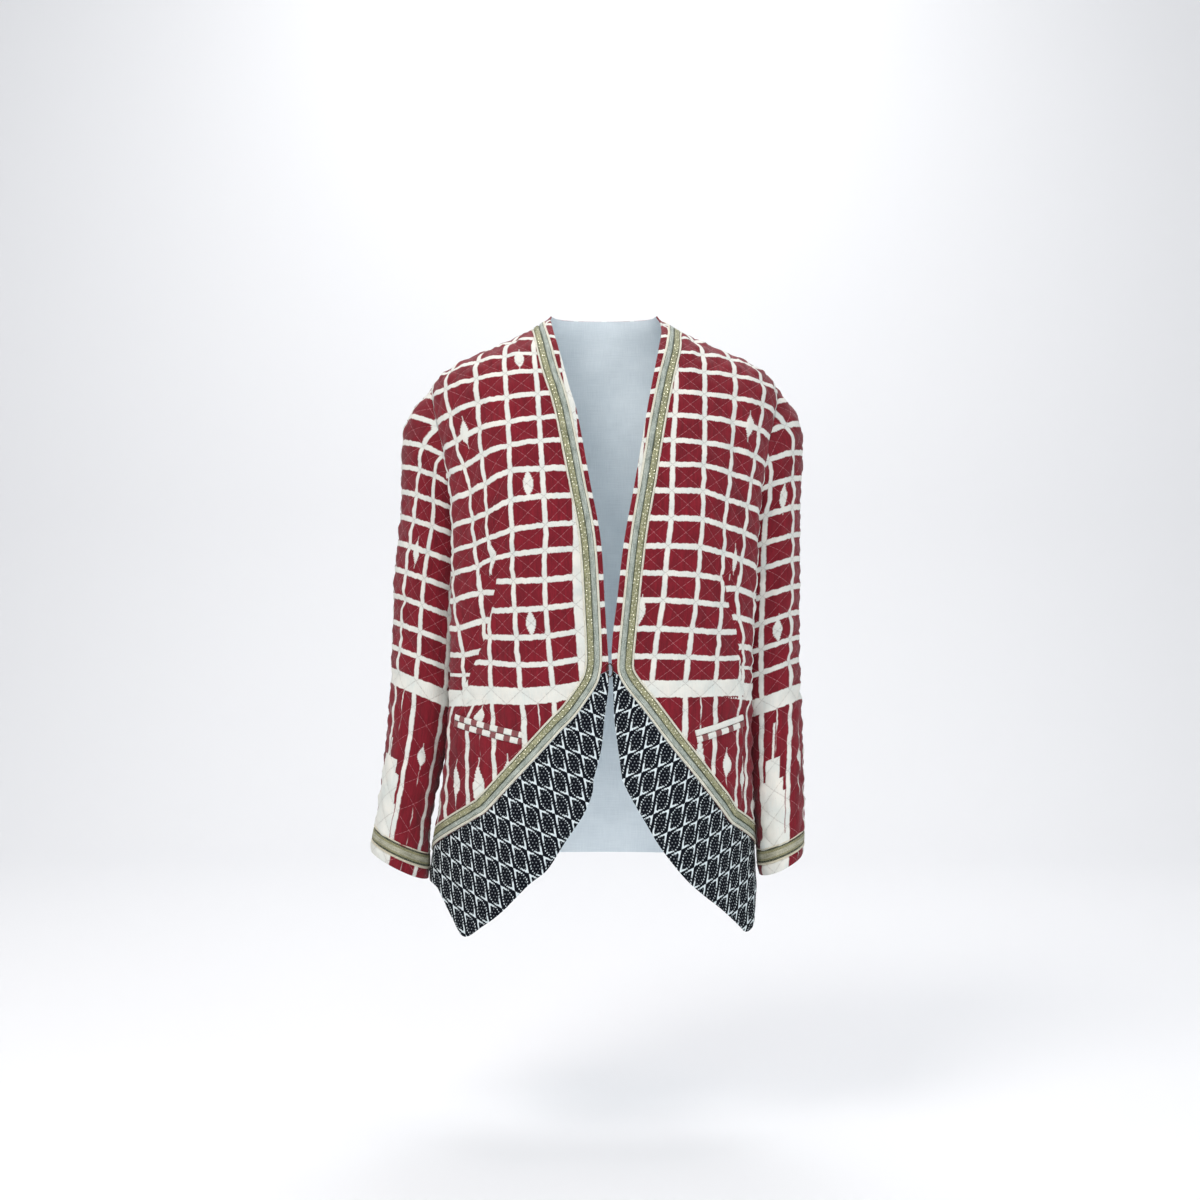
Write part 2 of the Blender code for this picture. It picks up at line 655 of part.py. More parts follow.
def add_mesh(name, points, faces, colour, roughness=0.85, metallic=0.0):
    mesh = bpy.data.meshes.new(name)
    mesh.from_pydata([tuple(point) for point in points], [], [tuple(map(int, f)) for f in faces])
    form = bmesh.new()
    form.from_mesh(mesh)
    loose = [vert for vert in form.verts if not vert.link_faces]
    bmesh.ops.delete(form, geom=loose, context="VERTS")
    if form.calc_volume(signed=True) < 0:
        bmesh.ops.reverse_faces(form, faces=form.faces)
    form.to_mesh(mesh)
    form.free()
    mesh.shade_smooth()
    mesh.set_sharp_from_angle(angle=math.radians(50))
    material = bpy.data.materials.new(name)
    material.use_nodes = True
    shader = material.node_tree.nodes["Principled BSDF"]
    shader.inputs["Base Color"].default_value = (*COLOURS[colour], 1)
    shader.inputs["Roughness"].default_value = roughness
    shader.inputs["Metallic"].default_value = metallic
    mesh.materials.append(material)
    obj = bpy.data.objects.new(name, mesh)
    bpy.context.scene.collection.objects.link(obj)
    return obj


def add_wall(name, panel, wall, colour):
    """The panel's solid: quilted outside, plain inside."""
    outer = panel.at(panel.uv, panel.relief(panel.uv))
    inner = panel.at(panel.lining_uv, -wall)
    lining_at = {tuple(np.round(uv, 6)): i for i, uv in enumerate(panel.lining_uv)}
    border = {a for edge in boundary_edges(panel.faces) for a in edge}
    partner = {a: lining_at[tuple(np.round(panel.uv[a], 6))] for a in border}
    points, faces = closed_solid(outer, panel.faces, inner, panel.lining, partner)
    return add_mesh(name, points, faces, colour)


def add_trim(name, panel, region, thickness, colour):
    """A flat piece that lies on a panel: the panel's own points inside a region, moved out."""
    chosen = panel.faces[inside(region, panel.uv[panel.faces].mean(axis=1))]
    used, index = np.unique(chosen, return_inverse=True)
    faces = index.reshape(chosen.shape)
    base = panel.relief(panel.uv[used]) + TRIM_LIFT
    under = panel.at(panel.uv[used], base)
    over = panel.at(panel.uv[used], base + thickness)
    partner = {i: i for i in range(len(used))}
    points, solid = closed_solid(over, faces, under, faces, partner)
    return add_mesh(name, points, solid, colour, 0.55)


# Outlines


def edge_on_body(body, rows, step=OUTLINE_STEP):
    """A line seen from the front, as evenly spaced points in the cloth's coordinates."""
    smooth = catmull_rom(np.array(rows), 8)
    on_cloth = np.array([(body.seen_at(x, z), cloth_height(z)) for x, z in smooth])
    return spaced_by(on_cloth, step)


def beside(line, distance):
    """A line moved sideways, to the left of its direction."""
    along = np.gradient(line, axis=0)
    along /= np.linalg.norm(along, axis=1)[:, None]
    return line + np.column_stack([-along[:, 1], along[:, 0]]) * distance


def seam_heights(start, end, step=OUTLINE_STEP):
    return np.linspace(start, end, max(2, round(abs(end - start) / step) + 1))


def armhole_rows():
    """Evenly spaced heights down the armhole, with how far each seam stands from the side line."""
    table = catmull_rom(np.array(ARMHOLE), 8)
    return spaced(table, LOOP_STATIONS)


def armhole_half(body, side, part):
    """The armhole on the front (part 1) or the back (part 2), from the shoulder to the underarm,
    as distances round the body and heights."""
    rows = armhole_rows()
    seam = body.side_seam(side, rows[:, 0])
    s = seam - rows[:, 1] if part == 1 else seam + rows[:, 2]
    return np.column_stack([s * SIDES[side], rows[:, 0]])


def armhole_loop(body, side):
    """The sleeve's first ring: the armhole seam, stood off where the sleeve turns back. Gives
    the ring's points for fractions of the way round, and the fractions of the seam's stations."""
    front, back = armhole_half(body, side, 1), armhole_half(body, side, 2)
    line = np.concatenate([front[::-1], back[1:]])
    points = body.point(line[:, 0], line[:, 1])
    uv = np.column_stack([line[:, 0], cloth_height(line[:, 1])])
    normal = normals_of(front_surface(body), uv, body_middle)
    low = np.clip((SHOULDER_TIP_Z - STAND_OFF_FROM - points[:, 2]) / STAND_OFF_OVER, 0, 1)
    low = low**2 * (3 - 2 * low)
    opening = points.mean(axis=0) - points
    opening -= normal * np.sum(opening * normal, axis=1)[:, None]
    opening /= np.linalg.norm(opening, axis=1)[:, None]
    points = points + normal * (low * UNDERARM_STAND_OFF)[:, None] + opening * SEAM_GAP
    tip = len(front) - 1
    halves = {1: points[: tip + 1][::-1], -1: points[tip:]}
    stations = {way: lengths_along(half) / lengths_along(half)[-1] / 2 for way, half in halves.items()}

    def ring(fractions):
        found = np.empty((len(fractions), 3))
        for way, half in halves.items():
            here = fractions >= 0 if way > 0 else fractions < 0
            for axis in range(3):
                found[here, axis] = np.interp(np.abs(fractions[here]), stations[way], half[:, axis])
        return found

    return ring, np.concatenate([-stations[-1][:0:-1], stations[1]])


class SideCut:
    """The seams and drawn lines of one side's front, in the cloth's coordinates. Each line runs
    from the neck down, or from the opening out to the side seam."""

    def __init__(self, body, side):
        self.body = body
        self.side = side
        sign = SIDES[side]
        middle = edge_on_body(body, BRAID_LINE[side], OUTLINE_STEP / 4)
        end = self.on_seam(BRAID_END_Z[side])
        middle = np.concatenate([middle[:-1], catmull_rom(np.array([middle[-1], end]), 8)])
        middle = spaced_by(middle, OUTLINE_STEP)
        self.outer = beside(middle, sign * BRAID_WIDTH / 2)
        self.inner = beside(middle, -sign * BRAID_WIDTH / 2)
        self.outer_end_z = BRAID_END_Z[side] + BRAID_WIDTH * BRAID_END_SLANT
        self.inner_end_z = BRAID_END_Z[side] - BRAID_WIDTH * BRAID_END_SLANT
        self.outer[0] = self.on_seam(BRAID_OUTER_TOP_Z)
        self.inner[0] = self.on_seam(BRAID_INNER_TOP_Z)
        self.outer[-1] = self.on_seam(self.outer_end_z)
        self.inner[-1] = self.on_seam(self.inner_end_z)
        whole = edge_on_body(body, ((sign * NECK_POINT_X, NECK_POINT_Z), *OPENING[side]))
        whole[0] = self.on_seam(NECK_POINT_Z)
        above = whole[:, 1] > HOOK_Z
        self.opening = np.concatenate([whole[above], [self.opening_at_hook(whole)]])
        self.opening_below = whole[~above & (whole[:, 1] < HOOK_Z - OUTLINE_STEP / 3)]
        self.turn = int(np.argmax(self.inner[:, 1] < HOOK_Z - OUTLINE_STEP / 3))

    def opening_at_hook(self, whole):
        s = np.interp(-HOOK_Z, -whole[:, 1], whole[:, 0])
        return np.array([s, HOOK_Z])

    def on_seam(self, z, gap=SEAM_GAP / 2):
        """A point on the front's edge of the shoulder seam or side seam."""
        sign = SIDES[self.side]
        return np.array([sign * (self.body.side_seam(self.side, z) - gap), cloth_height(z)])

    def seam_points(self, heights):
        return np.array([self.on_seam(z) for z in heights])

    def shoulder_heights(self):
        rising = seam_heights(SHOULDER_TIP_Z, BRAID_OUTER_TOP_Z, OUTLINE_STEP * SHOULDER_SLOPE)
        return np.concatenate([rising, [BRAID_INNER_TOP_Z, NECK_POINT_Z]])

    def side_heights(self):
        """Down the side seam, from the underarm to the braid's lower edge."""
        return np.concatenate([seam_heights(UNDERARM_Z, self.outer_end_z), [self.inner_end_z]])

    def front_outline(self):
        armhole = armhole_half(self.body, self.side, 1)
        armhole[:, 1] = cloth_height(armhole[:, 1])
        return np.concatenate([
            self.opening,
            self.inner[self.turn :],
            self.seam_points(self.side_heights()[::-1])[1:],
            armhole[::-1][1:],
            self.seam_points(self.shoulder_heights())[1:-1],
        ])

    def drawn_lines(self):
        return [self.outer, self.inner[: self.turn + 1]]

    def braid_region(self):
        return np.concatenate([self.outer, self.inner[::-1]])

    def cutaway_outline(self):
        """The cutaway panel, from the hook along the braid to the side and back by its free edge."""
        sign = SIDES[self.side]
        top = np.concatenate([self.opening[-1:], self.inner[self.turn :]])
        top = beside(top, -sign * SEAM_GAP)
        free = edge_on_body(self.body, (*OPENING[self.side][-1:], *PANEL_EDGE[self.side]))
        low = top[-1] - [sign * SEAM_GAP, OUTLINE_STEP / 3]
        return np.concatenate([top, [low], free[::-1], self.opening_below[::-1]])

    def welts(self):
        """The two welts of the pocket, above and below its slot, as four-cornered regions."""
        ends = np.array([
            (self.body.seen_at(x, z), cloth_height(z)) for x, z in POCKET_SLOT[self.side]
        ])
        line = spaced(ends, WELT_PARTS)
        upward = 1 if ends[1, 0] < ends[0, 0] else -1
        found = {}
        for name, sign in (("upper", -upward), ("lower", upward)):
            near = beside(line, sign * SEAM_GAP)
            far = beside(line, sign * (SEAM_GAP + WELT_WIDTH))
            found[name] = np.concatenate([near, far[::-1]])
        return found


def back_outline(body, cuts):
    """The back, and the two edges of the braid round its neck. Across is from the centre back."""
    half_gap = SEAM_GAP / 2

    def seam(side, z):
        across = body.half_round(side, z) - body.side_seam(side, z) - half_gap
        return np.array([SIDES[side] * across, cloth_height(z)])

    def round_neck(centre_z, seam_z):
        share = np.linspace(-1, 1, NECK_STATIONS * 2 + 1)
        z = centre_z + (seam_z - centre_z) * np.abs(share) ** 2
        across = np.where(share < 0, -seam("right", seam_z)[0], seam("left", seam_z)[0])
        return np.column_stack([share * across, cloth_height(z)])

    def down(side):
        armhole = armhole_half(body, side, 2)
        z = armhole[:, 1]
        across = body.half_round(side, z) - np.abs(armhole[:, 0])
        armhole = np.column_stack([SIDES[side] * across, cloth_height(z)])
        shoulder = [seam(side, z) for z in cuts[side].shoulder_heights()[::-1]]
        seams = [seam(side, z) for z in cuts[side].side_heights()]
        return np.concatenate([shoulder[:-1], armhole, seams[1:], [seam(side, SIDE_HEM_Z)]])

    neck = round_neck(BACK_NECK_Z, NECK_POINT_Z)
    left, right = down("left"), down("right")
    hem = spaced_by(np.array([left[-1], right[-1]]), OUTLINE_STEP)
    outline = np.concatenate([neck, left[1:], hem[1:-1], right[:0:-1]])
    upper = round_neck(BACK_NECK_Z - BRAID_INNER_DROP, BRAID_INNER_TOP_Z)
    lower = round_neck(BACK_NECK_Z - BRAID_INNER_DROP - BRAID_WIDTH, BRAID_OUTER_TOP_Z)
    return outline, upper, lower


def sleeve_outline(sleeve, stations):
    """The sleeve laid open at its underarm seam, and the two edges of its braid."""
    last = 0.5 - SEAM_GAP / sleeve.round_at(0.3)
    stations = np.clip(stations, -last, last)
    top = np.column_stack([stations * sleeve.round_at(sleeve.top(stations)), sleeve.top(stations)])
    marks = [0, CUFF_BELOW_BRAID, CUFF_BELOW_BRAID + CUFF_BRAID_WIDTH]

    def edge(sign):
        high = sleeve.top(sign * last)
        v = np.concatenate([marks[:-1], seam_heights(marks[-1], high)])
        return np.column_stack([sign * last * sleeve.round_at(v), v])

    def level(v):
        half = last * sleeve.round_at(v)
        return spaced_by(np.array([(-half, v), (half, v)]), OUTLINE_STEP)

    hem = level(0)
    outline = np.concatenate([hem, edge(1)[1:-1], top[::-1], edge(-1)[-2:0:-1]])
    return outline, level(marks[1]), level(marks[2])


def add_hook_and_eye(body):
    """One small steel hook and eye, fastened, on the outer face at the waist."""
    bar = body.point(HOOK_X, HOOK_Z) + np.array([0, -TRIM_LIFT - HOOK_WIRE / 2, 0])
    for name, lift, reach in (("eye", 0.0, 1), ("hook", -HOOK_WIRE - TRIM_LIFT, -1)):
        curve = bpy.data.curves.new(name, "CURVE")
        curve.dimensions = "3D"
        curve.bevel_depth = HOOK_WIRE / 2
        curve.bevel_resolution = 2
        curve.use_fill_caps = True
        spline = curve.splines.new("POLY")
        angles = np.radians(np.linspace(HOOK_GAP_DEGREES, 360 - HOOK_GAP_DEGREES, HOOK_STATIONS))
        spline.points.add(len(angles) - 1)
        for point, angle in zip(spline.points, angles):
            across = -reach * HOOK_LOOP * math.cos(angle)
            place = bar + [across, lift, HOOK_LOOP * HOOK_STRETCH * math.sin(angle)]
            point.co = (*place, 1)
        obj = bpy.data.objects.new(name, curve)
        bpy.context.scene.collection.objects.link(obj)
        material = bpy.data.materials.new(name)
        material.use_nodes = True
        shader = material.node_tree.nodes["Principled BSDF"]
        shader.inputs["Base Color"].default_value = (*COLOURS["steel"], 1)
        shader.inputs["Metallic"].default_value = 1.0
        shader.inputs["Roughness"].default_value = 0.35
        curve.materials.append(material)


def main():
    for obj in list(bpy.data.objects):
        bpy.data.objects.remove(obj, do_unlink=True)
    body = Body()
    cuts = {side: SideCut(body, side) for side in SIDES}
    for side, cut in cuts.items():
        welts = cut.welts()
        lines = cut.drawn_lines()
        lines += [np.concatenate([region, region[:1]]) for region in welts.values()]
        plain = [cut.braid_region(), *welts.values()]
        folds = FOLDS[f"front_{side}"]
        front = Panel(
            front_surface(body), body_middle, cut.front_outline(), lines, LATTICE[side], plain, folds
        )
        add_wall(f"front_{side}", front, WALL, "cloth")
        add_trim(f"braid_front_{side}", front, cut.braid_region(), TRIM_THICKNESS, "braid")
        for name, region in welts.items():
            add_trim(f"pocket_welt_{name}_{side}", front, region, WELT_THICKNESS, "welt")
        cutaway = Panel(front_surface(body), body_middle, cut.cutaway_outline(), folds=folds)
        add_wall(f"cutaway_panel_{side}", cutaway, PANEL_WALL, "navy")
    outline, upper, lower = back_outline(body, cuts)
    neck_region = np.concatenate([upper, lower[::-1]])
    back = Panel(
        back_surface(body),
        body_middle,
        outline,
        [upper, lower],
        LATTICE["back"],
        [neck_region],
        FOLDS["back"],
    )
    add_wall("back", back, WALL, "cloth")
    add_trim("braid_back_neck", back, neck_region, TRIM_THICKNESS, "braid")
    for side in SIDES:
        ring, stations = armhole_loop(body, side)
        sleeve = Sleeve(side, ring)
        outline, low, high = sleeve_outline(sleeve, stations)
        cuff = np.concatenate([low, high[::-1]])
        piece = Panel(
            sleeve.point,
            sleeve.middle,
            outline,
            [low, high],
            LATTICE["sleeve"],
            [cuff],
            FOLDS[f"sleeve_{side}"],
        )
        add_wall(f"sleeve_{side}", piece, WALL, "cloth")
        add_trim(f"braid_cuff_{side}", piece, cuff, TRIM_THICKNESS, "braid")
    add_hook_and_eye(body)


main()
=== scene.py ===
"""The looks of the patchwork jacket: quilted ikat cloth, net-patterned cutaway panels and braid.

Every piece follows the same two surfaces as the solids, the body and a sleeve, in the cloth's own
coordinates, only finer. The cloth's colours are worked out by nodes from those coordinates.
"""

import math

import bmesh
import bpy
import numpy as np
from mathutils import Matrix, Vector
from mathutils.geometry import delaunay_2d_cdt


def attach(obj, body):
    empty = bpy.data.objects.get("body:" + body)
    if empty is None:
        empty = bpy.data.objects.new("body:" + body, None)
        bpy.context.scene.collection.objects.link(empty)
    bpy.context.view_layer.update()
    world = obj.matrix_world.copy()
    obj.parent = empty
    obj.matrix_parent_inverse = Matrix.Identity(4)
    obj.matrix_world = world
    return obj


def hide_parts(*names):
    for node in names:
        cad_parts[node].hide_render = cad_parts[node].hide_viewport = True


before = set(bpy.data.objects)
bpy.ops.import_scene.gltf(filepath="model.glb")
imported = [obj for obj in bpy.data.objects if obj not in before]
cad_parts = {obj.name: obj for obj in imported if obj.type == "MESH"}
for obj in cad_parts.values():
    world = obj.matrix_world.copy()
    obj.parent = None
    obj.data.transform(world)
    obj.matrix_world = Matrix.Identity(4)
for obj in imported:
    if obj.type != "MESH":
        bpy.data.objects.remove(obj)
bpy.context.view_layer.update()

# Cloth and trim, in metres
WALL = 0.0024
PANEL_WALL = 0.0018
SEAM_GAP = 0.0004
QUILT_ACROSS = 0.0355
QUILT_UP = 0.0305
PUFF_HEIGHT = 0.0028
PUFF_REACH = 0.0050
EDGE_DIP = 0.0007
EDGE_DIP_REACH = 0.0028
CRINKLE_SEED = 7
CRINKLE_LENGTHS = (0.009, 0.014, 0.023)
CRINKLE_SLOPE = 0.0150
UNQUILTED_CRINKLE = 0.35
LINING_CRINKLE = 0.5
CRINKLE_WAVES = 3
CRINKLE_BEND = 0.9
CRINKLE_BEND_LENGTHS = 2.3
LEAST_CRINKLE = 0.25
QUILT_FADE = 0.007
PLAIN_SHARE = 0.12
BRAID_WIDTH = 0.0190
CUFF_BRAID_WIDTH = 0.0190
CUFF_BELOW_BRAID = 0.0115
OUTLINE_STEP = 0.0044
NORMAL_STEP = 0.0008
POINT_CLEARANCE = 0.42
CURVE_PARTS = 8
LATTICE_PARTS = 10
LINING_STEP = 0.0095

# Heights on the body
SHOULDER_TIP_Z = -0.062
UNDERARM_Z = -0.230
NECK_POINT_Z = 0.018
BACK_NECK_Z = 0.021
HOOK_Z = -0.400
SIDE_HEM_Z = -0.638
BRAID_OUTER_TOP_Z = 0.000
BRAID_INNER_TOP_Z = 0.010
BRAID_INNER_DROP = 0.009
BRAID_END_SLANT = 0.40
NECK_POINT_X = 0.066
SHOULDER_SLOPE = 0.36
NECK_STATIONS = 36
WELT_PARTS = 40
STAND_OFF_FROM = 0.112
STAND_OFF_OVER = 0.050
HIGHEST_SECTION = 0.030
LOWEST_SECTION = -0.730
SECTION_STEP = 0.004
SECTION_PARTS = 96
SPAN_PARTS = 12
HEIGHT_STATIONS = 400
# Keeps a place in a table inside its last step
INSIDE = 0.001
# The body's middle line, which leans towards the neck above a height
MIDDLE_SHARE = 0.75
MIDDLE_Y = 0.01
MIDDLE_DROP = 0.6
MIDDLE_DROP_FROM_Z = -0.10

# Level sections of the body's outer face, for the half at +X. The front and the back lie on the
# centre line, the cheek is at CHEEK of the way to the corner, and the side is the side seam.
CHEEK = 0.55
BODY_COLUMNS = "z front cheek_y corner_x corner_y side_x side_y blade_x blade_y back".split()
BODY_SECTIONS = (
    (0.030, -0.050, -0.044, 0.046, -0.030, 0.062, 0.006, 0.047, 0.044, 0.060),
    (0.012, -0.056, -0.050, 0.051, -0.034, 0.068, 0.007, 0.053, 0.050, 0.066),
    (0.000, -0.060, -0.055, 0.062, -0.038, 0.086, 0.008, 0.063, 0.056, 0.071),
    (-0.020, -0.070, -0.066, 0.096, -0.044, 0.130, 0.010, 0.097, 0.066, 0.080),
    (-0.040, -0.079, -0.077, 0.139, -0.048, 0.174, 0.012, 0.138, 0.074, 0.088),
    (-0.056, -0.085, -0.084, 0.165, -0.048, 0.197, 0.013, 0.162, 0.078, 0.094),
    (-0.074, -0.091, -0.090, 0.181, -0.047, 0.206, 0.014, 0.173, 0.081, 0.098),
    (-0.100, -0.097, -0.097, 0.186, -0.047, 0.204, 0.016, 0.174, 0.084, 0.102),
    (-0.140, -0.105, -0.106, 0.184, -0.050, 0.190, 0.018, 0.170, 0.086, 0.106),
    (-0.190, -0.111, -0.113, 0.179, -0.054, 0.162, 0.018, 0.155, 0.083, 0.107),
    (-0.230, -0.113, -0.115, 0.177, -0.055, 0.138, 0.018, 0.138, 0.078, 0.105),
    (-0.300, -0.110, -0.111, 0.176, -0.053, 0.133, 0.018, 0.132, 0.074, 0.098),
    (-0.400, -0.103, -0.102, 0.174, -0.050, 0.136, 0.018, 0.136, 0.070, 0.090),
    (-0.500, -0.108, -0.106, 0.174, -0.048, 0.150, 0.020, 0.150, 0.076, 0.100),
    (-0.580, -0.114, -0.111, 0.176, -0.046, 0.164, 0.020, 0.158, 0.082, 0.110),
    (-0.640, -0.117, -0.114, 0.177, -0.046, 0.171, 0.020, 0.164, 0.086, 0.114),
    (-0.730, -0.120, -0.116, 0.179, -0.046, 0.174, 0.020, 0.166, 0.088, 0.116),
)
# How much wider the body hangs on each side than in the sections above
WIDENING_COLUMNS = "z right left".split()
WIDENING = (
    (0.030, 1.000, 1.000),
    (-0.300, 1.000, 1.000),
    (-0.380, 1.015, 0.982),
    (-0.440, 1.030, 0.978),
    (-0.550, 1.070, 0.974),
    (-0.640, 1.125, 0.980),
    (-0.730, 1.140, 1.000),
)

# The armhole, as (z, front, back): the distance round the body from the side seam's line to the
# seam of the sleeve
ARMHOLE = (
    (SHOULDER_TIP_Z, 0.000, 0.000),
    (-0.078, 0.021, 0.016),
    (-0.100, 0.038, 0.029),
    (-0.135, 0.052, 0.042),
    (-0.170, 0.056, 0.046),
    (-0.198, 0.046, 0.038),
    (-0.217, 0.028, 0.023),
    (-0.227, 0.013, 0.011),
    (UNDERARM_Z, 0.000, 0.000),
)

# Front edges as seen from the front, from the neck down: the opening and the braid's middle line
OPENING = {
    "right": (
        (-0.0592, -0.008), (-0.0483, -0.046), (-0.0390, -0.081), (-0.0301, -0.111),
        (-0.0163, -0.186), (-0.0039, -0.2535), (0.0008, -0.328), (0.0044, -0.384),
        (0.0050, -0.4180), (0.0000, -0.4560), (-0.0034, -0.4890), (-0.0122, -0.5230),
    ),
    "left": (
        (0.0675, -0.004), (0.0622, -0.034), (0.0550, -0.070), (0.0485, -0.105),
        (0.0346, -0.186), (0.0223, -0.2535), (0.0146, -0.319), (0.0084, -0.375),
        (0.0100, -0.4200), (0.0115, -0.4560), (0.0158, -0.4900), (0.0203, -0.5235),
    ),
}
BRAID_LINE = {
    "right": (
        (-0.0776, 0.005), (-0.0700, -0.026), (-0.0619, -0.058), (-0.0522, -0.088),
        (-0.0449, -0.117), (-0.0313, -0.186), (-0.0191, -0.2535), (-0.0135, -0.343),
        (-0.0120, -0.385), (-0.0134, -0.4010), (-0.0185, -0.415), (-0.0392, -0.4446),
        (-0.0552, -0.461), (-0.0817, -0.490), (-0.1135, -0.5247), (-0.1400, -0.555),
    ),
    "left": (
        (0.0830, 0.003), (0.0800, -0.028), (0.0759, -0.047), (0.0702, -0.070),
        (0.0608, -0.117), (0.0493, -0.186), (0.0380, -0.2535), (0.0285, -0.3435),
        (0.0246, -0.386), (0.0250, -0.4010), (0.0331, -0.4155), (0.0534, -0.4408),
        (0.0812, -0.478), (0.1113, -0.516), (0.1340, -0.547), (0.1490, -0.568),
    ),
}
# The free edge of each cutaway panel, from the opening down and round its point to the side
PANEL_EDGE = {
    "right": (
        (-0.0135, -0.538), (-0.0236, -0.562), (-0.0439, -0.592), (-0.0639, -0.6225),
        (-0.0845, -0.639), (-0.1170, -0.672), (-0.1395, -0.690), (-0.1540, -0.7015),
        (-0.1610, -0.7025), (-0.1665, -0.6970), (-0.1840, -0.6680), (-0.1935, -0.6530),
    ),
    "left": (
        (0.0308, -0.544), (0.0450, -0.568), (0.0632, -0.598), (0.0895, -0.631),
        (0.1125, -0.653), (0.1330, -0.6705), (0.1535, -0.6915), (0.1630, -0.7020),
        (0.1700, -0.7010), (0.1740, -0.6960), (0.1765, -0.6800), (0.1775, -0.6640),
    ),
}
BRAID_END_Z = {"right": -0.628, "left": -0.622}

# Slanted pocket welts, as seen from the front: the outer and the inner end of the slot
POCKET_SLOT = {
    "right": ((-0.1720, -0.4590), (-0.0925, -0.4765)),
    "left": ((0.1600, -0.4590), (0.1035, -0.4750)),
}
WELT_WIDTH = 0.0068

# The print's lines, measured on each piece in its cloth's coordinates. ROWS are the heights of
# the level lines up from the plain band, and COLUMNS the places of the upright ones at some
# heights, each as (height, places of columns 0, 1, 2, ...). Past them the print goes on evenly.
ROWS = {
    "front_right": (
        -0.4236, -0.3943, -0.3638, -0.3322, -0.2997, -0.2695, -0.2426, -0.2091, -0.1753, -0.1469,
        -0.1205, -0.0904, -0.0588, -0.0335,
    ),
    "front_left": (
        -0.4148, -0.3854, -0.3548, -0.3232, -0.2929, -0.2616, -0.2302, -0.1988, -0.1694, -0.1444,
        -0.1151, -0.0864, -0.0570, -0.0313,
    ),
    "back": tuple(-0.4210 + 0.0300 * i for i in range(15)),
    "sleeve_right": (
        0.2165, 0.2445, 0.2745, 0.3060, 0.3375, 0.3690, 0.4005, 0.4305, 0.4605, 0.4890, 0.5220,
    ),
    "sleeve_left": (
        0.1990, 0.2310, 0.2580, 0.2880, 0.3195, 0.3525, 0.3810, 0.4140, 0.4485, 0.4785, 0.5130,
    ),
}
COLUMNS = {
    "front_right": (
        (-0.6400, (-0.0140, -0.0490, -0.0840, -0.1220, -0.1620, -0.2040)),
        (-0.4563, (-0.0214, -0.0551, -0.0901, -0.1283, -0.1645, -0.1956)),
        (-0.4226, (-0.0240, -0.0574, -0.0949, -0.1309, -0.1400, -0.1680)),
        (-0.3775, (-0.0284, -0.0619, -0.0984, -0.1322, -0.1385, -0.1707)),
        (-0.3210, (-0.0323, -0.0662, -0.1018, -0.1337, -0.1447, -0.1899)),
        (-0.2761, (-0.0334, -0.0672, -0.1041, -0.1300, -0.1493, -0.1947)),
        (-0.2480, (-0.0323, -0.0650, -0.1041, -0.1352, -0.1538, -0.1960)),
        (-0.1916, (-0.0348, -0.0684, -0.1059, -0.1394, -0.1631, -0.1990)),
        (-0.1353, (-0.0383, -0.0720, -0.1078, -0.1471, -0.1840, -0.2180)),
        (-0.0747, (-0.0430, -0.0758, -0.1120, -0.1493, -0.1979, -0.2330)),
        (-0.0174, (-0.0504, -0.0815, -0.1182, -0.1560, -0.2010, -0.2360)),
    ),
    "front_left": (
        (-0.6400, (0.0490, 0.0865, 0.1230, 0.1620, 0.1800)),
        (-0.4515, (0.0528, 0.0916, 0.1297, 0.1635, 0.1781)),
        (-0.4174, (0.0529, 0.0916, 0.1293, 0.1708, 0.1862)),
        (-0.3664, (0.0585, 0.0974, 0.1330, 0.1699, 0.1909)),
        (-0.3210, (0.0662, 0.1043, 0.1381, 0.1582, 0.1892)),
        (-0.2758, (0.0695, 0.1078, 0.1377, 0.1656, 0.2013)),
        (-0.2310, (0.0750, 0.1113, 0.1403, 0.1718, 0.2060)),
        (-0.1857, (0.0762, 0.1125, 0.1472, 0.1817, 0.2130)),
        (-0.1400, (0.0775, 0.1138, 0.1524, 0.1901, 0.2220)),
        (-0.0927, (0.0813, 0.1141, 0.1530, 0.1974, 0.2300)),
        (-0.0129, (0.0827, 0.1158, 0.1560, 0.1960, 0.2300)),
    ),
    "back": ((-0.640, (0.0, 0.0350, 0.0700)), (0.020, (0.0, 0.0360, 0.0720))),
    "sleeve_right": (
        (0.000, (-0.0080, 0.0180, 0.0460, 0.0830)),
        (0.150, (0.0020, 0.0290, 0.0580, 0.0930)),
        (0.230, (0.0060, 0.0350, 0.0630, 0.1000)),
        (0.310, (0.0105, 0.0425, 0.0680, 0.1020)),
        (0.380, (0.0100, 0.0470, 0.0720, 0.1050)),
        (0.460, (0.0080, 0.0550, 0.0785, 0.1100)),
    ),
    "sleeve_left": (
        (0.000, (0.0180, 0.0530, 0.0850, 0.1190)),
        (0.100, (0.0130, 0.0490, 0.0820, 0.1160)),
        (0.200, (0.0040, 0.0410, 0.0790, 0.1140)),
        (0.320, (-0.0010, 0.0360, 0.0775, 0.1130)),
        (0.450, (-0.0010, 0.0370, 0.0760, 0.1110)),
    ),
}
